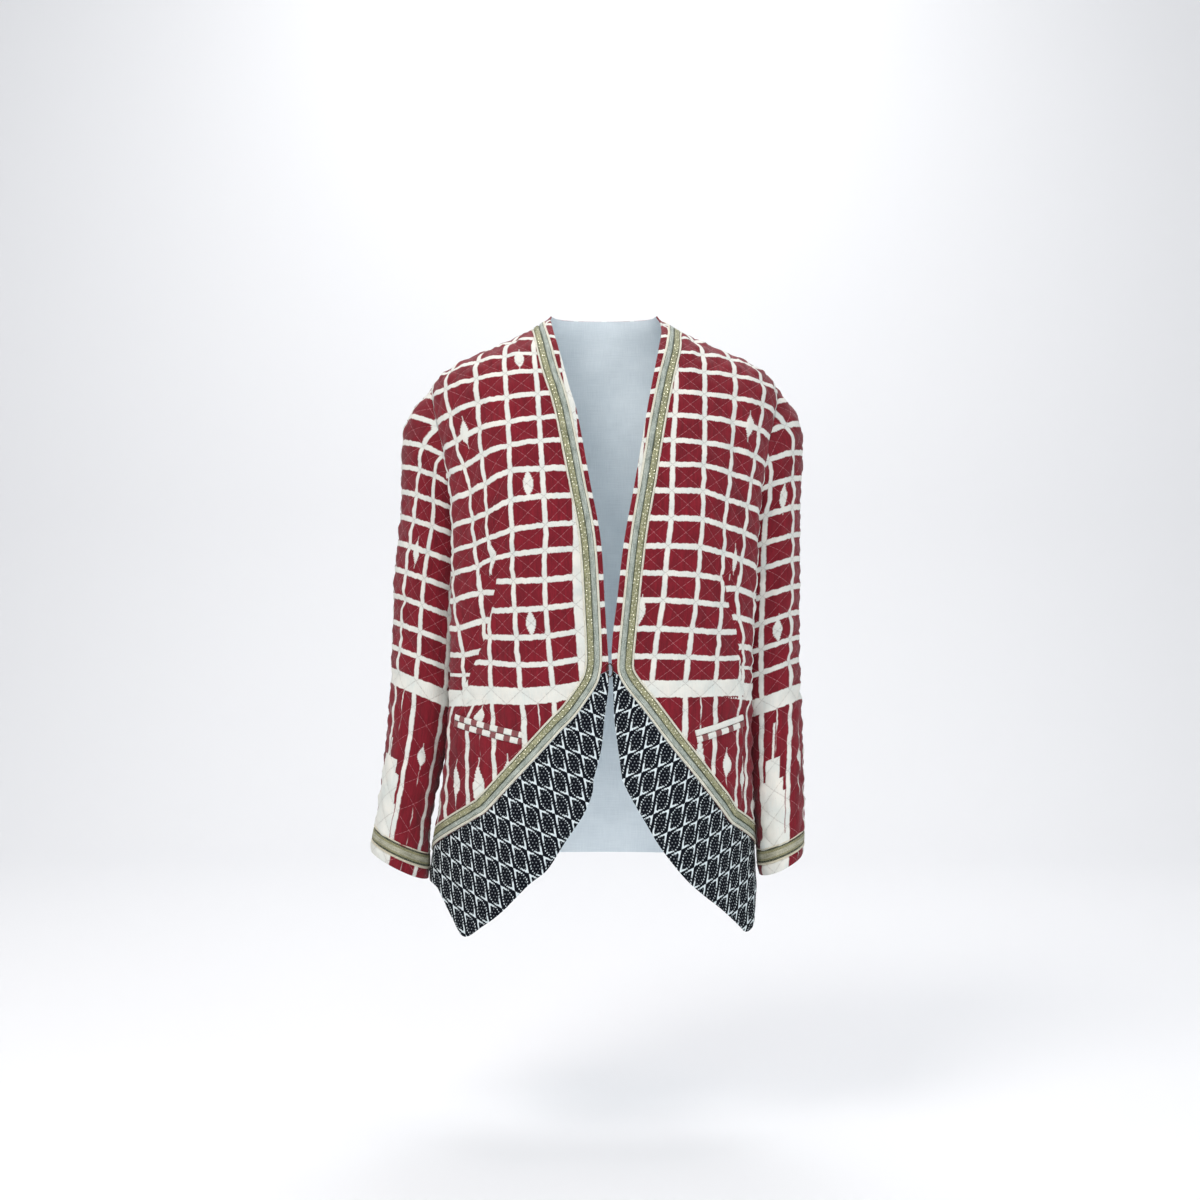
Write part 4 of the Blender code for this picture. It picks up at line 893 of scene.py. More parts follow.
def inside(outline, points):
    """Which points lie inside a closed outline."""
    found = np.zeros(len(points), bool)
    following = np.roll(outline, -1, axis=0)
    for (ax, ay), (bx, by) in zip(outline, following):
        if ay == by:
            continue
        crosses = (ay > points[:, 1]) != (by > points[:, 1])
        at = ax + (points[:, 1] - ay) / (by - ay) * (bx - ax)
        found ^= crosses & (points[:, 0] < at)
    return found


def distance_to(lines, points):
    """The distance of each point to the nearest of some lines."""
    nearest = np.full(len(points), np.inf)
    for line in lines:
        for start, end in zip(line, line[1:]):
            along = end - start
            t = np.clip((points - start) @ along / max(along @ along, 1e-18), 0, 1)
            away = np.linalg.norm(points - start - t[:, None] * along, axis=1)
            nearest = np.minimum(nearest, away)
    return nearest


def fold_lift(folds, uv):
    """How far the folds move each point out of its surface."""
    lift = np.zeros(len(uv))
    for row in folds:
        fold = dict(zip(FOLD_COLUMNS, row))
        turn = math.radians(fold["direction"])
        away = uv - [fold["u"], fold["v"]]
        along = away @ [math.cos(turn), math.sin(turn)] / (fold["length"] / 2)
        across = away @ [-math.sin(turn), math.cos(turn)] / (fold["width"] / 2)
        lift += fold["depth"] * np.exp(-(across**2)) * np.exp(-(along**4))
    return lift


def crinkle(uv, share):
    """The uneven puckers of washed quilting, as a sum of slanting waves."""
    draw = np.random.default_rng(CRINKLE_SEED)
    height = np.zeros(len(uv))
    for length in CRINKLE_LENGTHS:
        for _ in range(CRINKLE_WAVES):
            turn, start = draw.uniform(0, math.pi), draw.uniform(0, 2 * math.pi)
            wave = uv @ [math.cos(turn), math.sin(turn)] * 2 * math.pi / length
            bend = uv @ [-math.sin(turn), math.cos(turn)] * 2 * math.pi / (length * CRINKLE_BEND_LENGTHS)
            height += np.sin(wave + start + CRINKLE_BEND * np.sin(bend)) * length
    return share * height * CRINKLE_SLOPE


class Panel:
    """A piece of cloth: its outline, lines drawn on it, and its two triangulated faces."""

    def __init__(self, surface, middle, outline, chart, folds=(), plain=(), quilted=True, dart=None):
        self.surface = surface
        self.middle = middle
        self.outline = outline
        self.closed = np.concatenate([outline, outline[:1]])
        self.chart = chart
        self.folds = folds
        self.plain = plain
        self.quilted = quilted
        self.dart = None if dart is None else np.array(dart)
        across, up = QUILT_ACROSS / LATTICE_PARTS, QUILT_UP / LATTICE_PARTS
        self.uv, self.faces = self.cut(across, up)
        self.lining_uv, self.lining = self.cut(LINING_STEP, LINING_STEP)

    def cut(self, across, up):
        low, high = self.outline.min(axis=0), self.outline.max(axis=0)
        u, v = np.arange(low[0], high[0], across), np.arange(low[1], high[1], up)
        grid = np.stack(np.meshgrid(u, v, indexing="ij"), axis=-1)
        grid[:, 1::2, 0] += across / 2
        points = grid.reshape(-1, 2)
        points = points[inside(self.outline, points)]
        points = points[distance_to([self.closed], points) > POINT_CLEARANCE * up]
        count = len(self.outline)
        edges = [(i, (i + 1) % count) for i in range(count)]
        coordinates = [Vector(point) for point in self.outline]
        if self.dart is not None:
            seam = spaced_by(self.dart, up)
            points = points[distance_to([seam], points) > POINT_CLEARANCE * up]
            coordinates += [Vector(point) for point in seam]
            edges += [(count + i, count + i + 1) for i in range(len(seam) - 1)]
        coordinates += [Vector(point) for point in points]
        found = delaunay_2d_cdt(coordinates, edges, [], 0, 1e-8)
        uv = np.array([tuple(vert) for vert in found[0]])
        faces = np.array([face for face in found[2] if len(face) == 3])
        return uv, faces[inside(self.outline, uv[faces].mean(axis=1))]

    def relief(self, uv):
        """How far the padding between the stitches stands out, and the seams' dip at the edges."""
        away = distance_to([self.closed], uv)
        edge = -EDGE_DIP * np.exp(-((away / EDGE_DIP_REACH) ** 2))
        if self.dart is not None:
            edge -= DART_DIP * np.exp(-((distance_to([self.dart], uv) / DART_DIP_REACH) ** 2))
        if not self.quilted:
            return edge + crinkle(uv, UNQUILTED_CRINKLE)
        u, v = self.chart(uv).T
        between = 1 / math.hypot(1 / QUILT_ACROSS, 1 / QUILT_UP)
        first = np.abs((u + v + 0.5) % 1 - 0.5) * between
        second = np.abs((u - v + 0.5) % 1 - 0.5) * between
        puff = (1 - np.exp(-first / PUFF_REACH)) * (1 - np.exp(-second / PUFF_REACH))
        height = puff * PUFF_HEIGHT + crinkle(uv, 1.0) * np.clip(puff * 2, LEAST_CRINKLE, 1)
        height = height * np.clip(away / QUILT_FADE, 0, 1)
        for region in self.plain:
            height[inside(region, uv)] *= PLAIN_SHARE
        return height + edge

    def at(self, uv, lift):
        normal = normals_of(self.surface, uv, self.middle)
        return self.surface(uv) + normal * np.reshape(lift + fold_lift(self.folds, uv), (-1, 1))


def boundary_edges(faces):
    """The directed edges that only one face has."""
    directed = {(a, b) for face in faces for a, b in zip(face, np.roll(face, -1))}
    return [(a, b) for a, b in directed if (b, a) not in directed]


def closed_solid(outer, outer_faces, inner, inner_faces, partner):
    """A mesh from two faces of a wall; partner gives each border point's place on the inner one."""
    shift = len(outer)
    faces = [tuple(face) for face in outer_faces]
    faces += [tuple(int(i) + shift for i in reversed(face)) for face in inner_faces]
    for a, b in boundary_edges(outer_faces):
        faces.append((b, a, partner[a] + shift))
        faces.append((b, partner[a] + shift, partner[b] + shift))
    return np.concatenate([outer, inner]), faces


# Outlines


def edge_on_body(body, rows, step=OUTLINE_STEP):
    """A line seen from the front, as evenly spaced points in the cloth's coordinates."""
    smooth = catmull_rom(np.array(rows), CURVE_PARTS)
    on_cloth = np.array([(body.seen_at(x, z), cloth_height(z)) for x, z in smooth])
    return spaced_by(on_cloth, step)


def beside(line, distance):
    """A line moved sideways, to the left of its direction."""
    along = np.gradient(line, axis=0)
    along /= np.linalg.norm(along, axis=1)[:, None]
    return line + np.column_stack([-along[:, 1], along[:, 0]]) * distance


def seam_heights(start, end, step=OUTLINE_STEP):
    return np.linspace(start, end, max(2, round(abs(end - start) / step) + 1))


def armhole_rows():
    """Evenly spaced heights down the armhole, with how far each seam stands from the side line."""
    return spaced(catmull_rom(np.array(ARMHOLE), CURVE_PARTS), LOOP_STATIONS)


def armhole_half(body, side, part):
    """The armhole on the front (part 1) or the back (part 2), from the shoulder to the underarm,
    as distances round the body and heights."""
    rows = armhole_rows()
    seam = body.side_seam(side, rows[:, 0])
    s = seam - rows[:, 1] if part == 1 else seam + rows[:, 2]
    return np.column_stack([s * SIDES[side], rows[:, 0]])


def armhole_loop(body, side):
    """The sleeve's first ring: the armhole seam, stood off where the sleeve turns back. Gives
    the ring's points for fractions of the way round, and the fractions of the seam's stations."""
    front, back = armhole_half(body, side, 1), armhole_half(body, side, 2)
    line = np.concatenate([front[::-1], back[1:]])
    points = body.point(line[:, 0], line[:, 1])
    uv = np.column_stack([line[:, 0], cloth_height(line[:, 1])])
    normal = normals_of(front_surface(body), uv, body_middle)
    low = np.clip((SHOULDER_TIP_Z - STAND_OFF_FROM - points[:, 2]) / STAND_OFF_OVER, 0, 1)
    low = low**2 * (3 - 2 * low)
    opening = points.mean(axis=0) - points
    opening -= normal * np.sum(opening * normal, axis=1)[:, None]
    opening /= np.linalg.norm(opening, axis=1)[:, None]
    points = points + normal * (low * UNDERARM_STAND_OFF)[:, None] + opening * SEAM_GAP
    tip = len(front) - 1
    halves = {1: points[: tip + 1][::-1], -1: points[tip:]}
    stations = {way: lengths_along(half) / lengths_along(half)[-1] / 2 for way, half in halves.items()}

    def ring(fractions):
        found = np.empty((len(fractions), 3))
        for way, half in halves.items():
            here = fractions >= 0 if way > 0 else fractions < 0
            for axis in range(3):
                found[here, axis] = np.interp(np.abs(fractions[here]), stations[way], half[:, axis])
        return found

    return ring, np.concatenate([-stations[-1][:0:-1], stations[1]])


class SideCut:
    """The seams and drawn lines of one side's front, in the cloth's coordinates. Each line runs
    from the neck down, or from the opening out to the side seam."""

    def __init__(self, body, side):
        self.body = body
        self.side = side
        sign = SIDES[side]
        middle = edge_on_body(body, BRAID_LINE[side], OUTLINE_STEP / 4)
        end = self.on_seam(BRAID_END_Z[side])
        last = catmull_rom(np.array([middle[-1], end]), CURVE_PARTS)
        middle = np.concatenate([middle[:-1], last])
        middle = spaced_by(middle, OUTLINE_STEP)
        self.outer = beside(middle, sign * BRAID_WIDTH / 2)
        self.inner = beside(middle, -sign * BRAID_WIDTH / 2)
        self.outer_end_z = BRAID_END_Z[side] + BRAID_WIDTH * BRAID_END_SLANT
        self.inner_end_z = BRAID_END_Z[side] - BRAID_WIDTH * BRAID_END_SLANT
        self.outer[0] = self.on_seam(BRAID_OUTER_TOP_Z)
        self.inner[0] = self.on_seam(BRAID_INNER_TOP_Z)
        self.outer[-1] = self.on_seam(self.outer_end_z)
        self.inner[-1] = self.on_seam(self.inner_end_z)
        whole = edge_on_body(body, ((sign * NECK_POINT_X, NECK_POINT_Z), *OPENING[side]))
        whole[0] = self.on_seam(NECK_POINT_Z)
        above = whole[:, 1] > HOOK_Z
        self.opening = np.concatenate([whole[above], [self.opening_at_hook(whole)]])
        self.opening_below = whole[~above & (whole[:, 1] < HOOK_Z - OUTLINE_STEP / 3)]
        self.turn = int(np.argmax(self.inner[:, 1] < HOOK_Z - OUTLINE_STEP / 3))

    def opening_at_hook(self, whole):
        s = np.interp(-HOOK_Z, -whole[:, 1], whole[:, 0])
        return np.array([s, HOOK_Z])

    def on_seam(self, z, gap=SEAM_GAP / 2):
        """A point on the front's edge of the shoulder seam or side seam."""
        sign = SIDES[self.side]
        return np.array([sign * (self.body.side_seam(self.side, z) - gap), cloth_height(z)])

    def seam_points(self, heights):
        return np.array([self.on_seam(z) for z in heights])

    def shoulder_heights(self):
        rising = seam_heights(SHOULDER_TIP_Z, BRAID_OUTER_TOP_Z, OUTLINE_STEP * SHOULDER_SLOPE)
        return np.concatenate([rising, [BRAID_INNER_TOP_Z, NECK_POINT_Z]])

    def side_heights(self):
        """Down the side seam, from the underarm to the braid's lower edge."""
        return np.concatenate([seam_heights(UNDERARM_Z, self.outer_end_z), [self.inner_end_z]])

    def front_outline(self):
        armhole = armhole_half(self.body, self.side, 1)
        armhole[:, 1] = cloth_height(armhole[:, 1])
        return np.concatenate([
            self.opening,
            self.inner[self.turn :],
            self.seam_points(self.side_heights()[::-1])[1:],
            armhole[::-1][1:],
            self.seam_points(self.shoulder_heights())[1:-1],
        ])

    def braid_region(self):
        return np.concatenate([self.outer, self.inner[::-1]])

    def cutaway_outline(self):
        """The cutaway panel, from the hook along the braid to the side and back by its free edge."""
        sign = SIDES[self.side]
        top = np.concatenate([self.opening[-1:], self.inner[self.turn :]])
        top = beside(top, -sign * SEAM_GAP)
        free = edge_on_body(self.body, (*OPENING[self.side][-1:], *PANEL_EDGE[self.side]))
        low = top[-1] - [sign * SEAM_GAP, OUTLINE_STEP / 3]
        return np.concatenate([top, [low], free[::-1], self.opening_below[::-1]])

    def welts(self):
        """The two welts of the pocket, above and below its slot, as four-cornered regions."""
        ends = np.array([
            (self.body.seen_at(x, z), cloth_height(z)) for x, z in POCKET_SLOT[self.side]
        ])
        line = spaced(ends, WELT_PARTS)
        upward = 1 if ends[1, 0] < ends[0, 0] else -1
        found = {}
        for name, sign in (("upper", -upward), ("lower", upward)):
            near = beside(line, sign * SEAM_GAP)
            far = beside(line, sign * (SEAM_GAP + WELT_WIDTH))
            found[name] = np.concatenate([near, far[::-1]])
        return found


def back_outline(body, cuts):
    """The back, and the two edges of the braid round its neck. Across is from the centre back."""
    half_gap = SEAM_GAP / 2

    def seam(side, z):
        across = body.half_round(side, z) - body.side_seam(side, z) - half_gap
        return np.array([SIDES[side] * across, cloth_height(z)])

    def round_neck(centre_z, seam_z):
        share = np.linspace(-1, 1, NECK_STATIONS * 2 + 1)
        z = centre_z + (seam_z - centre_z) * np.abs(share) ** 2
        across = np.where(share < 0, -seam("right", seam_z)[0], seam("left", seam_z)[0])
        return np.column_stack([share * across, cloth_height(z)])

    def down(side):
        armhole = armhole_half(body, side, 2)
        z = armhole[:, 1]
        across = body.half_round(side, z) - np.abs(armhole[:, 0])
        armhole = np.column_stack([SIDES[side] * across, cloth_height(z)])
        shoulder = [seam(side, z) for z in cuts[side].shoulder_heights()[::-1]]
        seams = [seam(side, z) for z in cuts[side].side_heights()]
        return np.concatenate([shoulder[:-1], armhole, seams[1:], [seam(side, SIDE_HEM_Z)]])

    neck = round_neck(BACK_NECK_Z, NECK_POINT_Z)
    left, right = down("left"), down("right")
    hem = spaced_by(np.array([left[-1], right[-1]]), OUTLINE_STEP)
    outline = np.concatenate([neck, left[1:], hem[1:-1], right[:0:-1]])
    upper = round_neck(BACK_NECK_Z - BRAID_INNER_DROP, BRAID_INNER_TOP_Z)
    lower = round_neck(BACK_NECK_Z - BRAID_INNER_DROP - BRAID_WIDTH, BRAID_OUTER_TOP_Z)
    return outline, upper, lower


def sleeve_outline(sleeve, stations):
    """The sleeve laid open at its underarm seam, and the two edges of its braid."""
    last = 0.5 - SEAM_GAP / sleeve.round_at(SEAM_HEIGHT)
    stations = np.clip(stations, -last, last)
    top = np.column_stack([stations * sleeve.round_at(sleeve.top(stations)), sleeve.top(stations)])
    marks = [0, CUFF_BELOW_BRAID, CUFF_BELOW_BRAID + CUFF_BRAID_WIDTH]

    def edge(sign):
        high = sleeve.top(sign * last)
        v = np.concatenate([marks[:-1], seam_heights(marks[-1], high)])
        return np.column_stack([sign * last * sleeve.round_at(v), v])

    def level(v):
        half = last * sleeve.round_at(v)
        return spaced_by(np.array([(-half, v), (half, v)]), OUTLINE_STEP)

    hem = level(0)
    outline = np.concatenate([hem, edge(1)[1:-1], top[::-1], edge(-1)[-2:0:-1]])
    return outline, level(marks[1]), level(marks[2])


# Pieces


def add_mesh(name, points, faces, uv, materials, which=None, corner_uv=()):
    mesh = bpy.data.meshes.new(name)
    mesh.from_pydata([tuple(point) for point in points], [], [tuple(map(int, f)) for f in faces])
    for material in materials:
        mesh.materials.append(material)
    if which is not None:
        mesh.polygons.foreach_set("material_index", np.asarray(which, np.int32))
    corners = np.empty(len(mesh.loops), np.int32)
    mesh.loops.foreach_get("vertex_index", corners)
    layer = mesh.uv_layers.new(name="cloth")
    placed = np.asarray(uv, np.float32)[corners]
    placed[: len(corner_uv)] = np.reshape(corner_uv, (-1, 2))
    layer.uv.foreach_set("vector", placed.ravel())
    form = bmesh.new()
    form.from_mesh(mesh)
    loose = [vert for vert in form.verts if not vert.link_faces]
    bmesh.ops.delete(form, geom=loose, context="VERTS")
    if form.calc_volume(signed=True) < 0:
        bmesh.ops.reverse_faces(form, faces=form.faces)
    form.to_mesh(mesh)
    form.free()
    mesh.shade_smooth()
    mesh.set_sharp_from_angle(angle=math.radians(SHARP_ANGLE))
    obj = bpy.data.objects.new(name, mesh)
    bpy.context.scene.collection.objects.link(obj)
    return obj


def declare(obj, nodes):
    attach(obj, "root")
    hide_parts(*nodes)


def flat_area(outline):
    following = np.roll(outline, -1, axis=0)
    return abs(np.sum(outline[:, 0] * following[:, 1] - outline[:, 1] * following[:, 0])) / 2


def add_cloth(name, panel, wall, materials):
    """A piece of cloth with its lining, in its solid's place."""
    outer = panel.at(panel.uv, panel.relief(panel.uv))
    lining_lift = crinkle(panel.lining_uv, LINING_CRINKLE)
    lining_lift[distance_to([panel.closed], panel.lining_uv) < LINING_STEP / 2] = 0
    inner = panel.at(panel.lining_uv, lining_lift - wall)
    lining_at = {tuple(np.round(uv, 6)): i for i, uv in enumerate(panel.lining_uv)}
    border = {a for edge in boundary_edges(panel.faces) for a in edge}
    partner = {a: lining_at[tuple(np.round(panel.uv[a], 6))] for a in border}
    points, faces = closed_solid(outer, panel.faces, inner, panel.lining, partner)
    which = np.zeros(len(faces), int)
    which[len(panel.faces) : len(panel.faces) + len(panel.lining)] = 1
    chart = np.concatenate([panel.chart(panel.uv), panel.chart(panel.lining_uv)])
    corners = panel.uv[panel.faces].reshape(-1, 2)
    centres = np.repeat(panel.uv[panel.faces].mean(axis=1), 3, axis=0)
    corner_chart = panel.chart(corners, centres)
    obj = add_mesh(f"{name}_cloth", points, faces, chart, materials, which, corner_chart)
    declare(obj, [name])
    size = np.ptp(panel.outline, axis=0)
    area = flat_area(panel.outline)


def add_strip(name, panel, edge_a, edge_b, profile, materials, nodes, ends=0.0):
    """A band laid on a panel between two lines, with a raised profile across it."""
    across = np.linspace(0, 1, len(profile))
    count = len(edge_a)
    width = np.linalg.norm(edge_b - edge_a, axis=1)
    along = lengths_along((edge_a + edge_b) / 2)
    rings_uv = edge_a[:, None] + (edge_b - edge_a)[:, None] * across[None, :, None]
    rings_uv = rings_uv.reshape(-1, 2)
    lift = np.tile(profile, (count, 1))
    taper = np.clip(np.minimum(along, along[-1] - along) / max(ends, 1e-6), 0, 1) if ends else 1.0
    lift = STRIP_FOOT + (lift - STRIP_FOOT) * np.reshape(np.sqrt(taper) * np.ones(count), (-1, 1))
    top = panel.at(rings_uv, lift.ravel())
    under = panel.at(rings_uv, np.full(len(rings_uv), STRIP_FOOT * 0.5))
    wide = len(profile)
    index = np.arange(count * wide).reshape(count, wide)
    faces = []
    for i in range(count - 1):
        for j in range(wide - 1):
            a, b, c, d = index[i, j], index[i, j + 1], index[i + 1, j + 1], index[i + 1, j]
            faces.append((a, b, c, d))
    shift = count * wide
    faces += [tuple(k + shift for k in face[::-1]) for face in faces]
    rim = list(index[0, ::-1]) + list(index[1:-1, 0]) + list(index[-1]) + list(index[-2:0:-1, -1])
    for a, b in zip(rim, rim[1:] + rim[:1]):
        faces.append((a, b, b + shift, a + shift))
    uv = np.column_stack([
        (across[None] * width[:, None]).ravel(), np.repeat(along, wide)
    ])
    uv = np.concatenate([uv, uv])
    obj = add_mesh(name, np.concatenate([top, under]), faces, uv, materials)
    declare(obj, nodes)


def bumps(across, *rows):
    """A profile from rounded ridges, each as (middle, half width, height)."""
    height = np.full(len(across), STRIP_FOOT)
    for middle, half, rise in rows:
        away = np.clip(np.abs(across - middle) / half, 0, 1)
        height = np.maximum(height, rise * np.sqrt(1 - away**4))
    return height


def add_sequins(name, panel, edge_a, edge_b, rows, material):
    """Small cupped sequins sewn along a band. Each row is (place across, spacing, lift, radius)."""
    draw = np.random.default_rng(SEQUIN_SEED)
    points, faces = [], []
    along = lengths_along((edge_a + edge_b) / 2)
    for place, spacing, lift, radius in rows:
        stops = np.arange(spacing, along[-1] - spacing, spacing)
        stops = stops + draw.uniform(-SEQUIN_DRIFT, SEQUIN_DRIFT, len(stops)) * spacing
        t = place + draw.uniform(-SEQUIN_WANDER, SEQUIN_WANDER, len(stops))
        a = np.column_stack([np.interp(stops, along, edge_a[:, axis]) for axis in (0, 1)])
        b = np.column_stack([np.interp(stops, along, edge_b[:, axis]) for axis in (0, 1)])
        uv = a + (b - a) * t[:, None]
        centre = panel.at(uv, np.full(len(uv), lift))
        normal = normals_of(panel.surface, uv, panel.middle)
        for middle, up in zip(centre, normal):
            up = up + draw.normal(0, SEQUIN_TILT, 3)
            up /= np.linalg.norm(up)
            side = np.cross(up, SEQUIN_SIDEWAYS)
            side /= np.linalg.norm(side)
            other = np.cross(up, side)
            start = len(points)
            points.append(middle - up * radius * SEQUIN_CUP)
            for turn in np.linspace(0, 2 * math.pi, SEQUIN_SIDES, endpoint=False):
                edge = side * math.cos(turn) + other * math.sin(turn)
                points.append(middle + edge * radius + up * radius * SEQUIN_RIM)
            for k in range(SEQUIN_SIDES):
                faces.append((start, start + 1 + k, start + 1 + (k + 1) % SEQUIN_SIDES))
    uv = np.zeros((len(points), 2))
    obj = add_mesh(name, points, faces, uv, [material])
    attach(obj, "root")


# Materials


class Value:
    """A number worked out by nodes, so that node maths can be written as sums."""

    def __init__(self, tree, socket):
        self.tree = tree
        self.socket = socket

    def math(self, operation, *others, clamp=False):
        node = self.tree.nodes.new("ShaderNodeMath")
        node.operation = operation
        node.use_clamp = clamp
        for i, value in enumerate((self, *others)):
            if isinstance(value, Value):
                self.tree.links.new(value.socket, node.inputs[i])
            else:
                node.inputs[i].default_value = value
        return Value(self.tree, node.outputs[0])

    def __add__(self, other):
        return self.math("ADD", other)

    __radd__ = __add__

    def __mul__(self, other):
        return self.math("MULTIPLY", other)

    __rmul__ = __mul__

    def __sub__(self, other):
        return self.math("SUBTRACT", other)

    def __rsub__(self, other):
        return (self * -1) + other

    def __truediv__(self, other):
        return self.math("DIVIDE", other)

    def clamped(self):
        return self.math("ADD", 0.0, clamp=True)

    def size(self):
        return self.math("ABSOLUTE")

    def part(self):
        return self.math("FRACT")

    def least(self, other):
        return self.math("MINIMUM", other)

    def most(self, other):
        return self.math("MAXIMUM", other)

    def wave(self):
        """The sine of this many turns."""
        return (self * (2 * math.pi)).math("SINE")

    def from_line(self):
        """The distance from the nearest whole number."""
        return ((self + 0.5).part() - 0.5).size()

    def above(self, edge, blur):
        """1 where this is over the edge and 0 where it is under, changing over the blur."""
        return ((self - edge) / blur + 0.5).clamped()

    def under(self, edge, blur):
        return 1 - self.above(edge, blur)


class Paint:
    """The nodes of one material, over a layer of the cloth's own coordinates."""

    def __init__(self, name, scale):
        self.material = bpy.data.materials.new(name)
        self.material.use_nodes = True
        self.tree = self.material.node_tree
        self.shader = self.tree.nodes["Principled BSDF"]
        layer = self.tree.nodes.new("ShaderNodeUVMap")
        layer.uv_map = "cloth"
        split = self.tree.nodes.new("ShaderNodeSeparateXYZ")
        self.tree.links.new(layer.outputs[0], split.inputs[0])
        self.u = Value(self.tree, split.outputs[0])
        self.v = Value(self.tree, split.outputs[1])
        self.x = self.u * scale[0]
        self.y = self.v * scale[1]

    def noise(self, u, v, seed, detail=2.0):
        """Noise around 0, mostly within 0.5 of it, at these coordinates."""
        join = self.tree.nodes.new("ShaderNodeCombineXYZ")
        for i, value in enumerate((u, v, seed)):
            if isinstance(value, Value):
                self.tree.links.new(value.socket, join.inputs[i])
            else:
                join.inputs[i].default_value = value
        node = self.tree.nodes.new("ShaderNodeTexNoise")
        node.inputs["Scale"].default_value = 1.0
        node.inputs["Detail"].default_value = detail
        node.inputs["Roughness"].default_value = TONE_ROUGHNESS
        self.tree.links.new(join.outputs[0], node.inputs["Vector"])
        return Value(self.tree, node.outputs[0]) - 0.5

    def layered(self, value, layers):
        """The value with layers of noise added, as in COLUMN_DRIFT."""
        for across, along, seed, strength in layers:
            value = value + self.noise(self.x / across, self.y / along, seed) * strength
        return value

    def mix(self, low, high, share):
        """From one colour to another; either may be a socket or a colour from 0 to 255."""
        node = self.tree.nodes.new("ShaderNodeMix")
        node.data_type = "RGBA"
        self.tree.links.new(share.socket, node.inputs[0])
        for value, place in ((low, 6), (high, 7)):
            if isinstance(value, tuple):
                node.inputs[place].default_value = (*linear(*value), 1)
            else:
                self.tree.links.new(value, node.inputs[place])
        return node.outputs[2]

    def ramp(self, value, stops):
        """A stepped lookup: each stop is (from here on, number)."""
        node = self.tree.nodes.new("ShaderNodeValToRGB")
        node.color_ramp.interpolation = "CONSTANT"
        elements = node.color_ramp.elements
        while len(elements) < len(stops):
            elements.new(0.5)
        for element, (at, number) in zip(elements, stops):
            element.position = at
            element.color = (number, number, number, 1)
        self.tree.links.new(value.socket, node.inputs[0])
        return Value(self.tree, node.outputs[0])

    def finish(self, colour, roughness, height, distance, **constants):
        self.tree.links.new(colour, self.shader.inputs["Base Color"])
        if isinstance(roughness, Value):
            self.tree.links.new(roughness.socket, self.shader.inputs["Roughness"])
        else:
            self.shader.inputs["Roughness"].default_value = roughness
        for name, value in constants.items():
            self.shader.inputs[name.replace("_", " ")].default_value = value
        bump = self.tree.nodes.new("ShaderNodeBump")
        bump.inputs["Strength"].default_value = 1.0
        bump.inputs["Distance"].default_value = distance
        self.tree.links.new(height.socket, bump.inputs["Height"])
        self.tree.links.new(bump.outputs[0], self.shader.inputs["Normal"])
        return self.material


def linear(*levels):
    """A colour given as 0 to 255 on screen, as the shader takes it."""
    return tuple(((x / 255 + 0.055) / 1.055) ** 2.4 if x > 10 else x / 255 / 12.92 for x in levels)


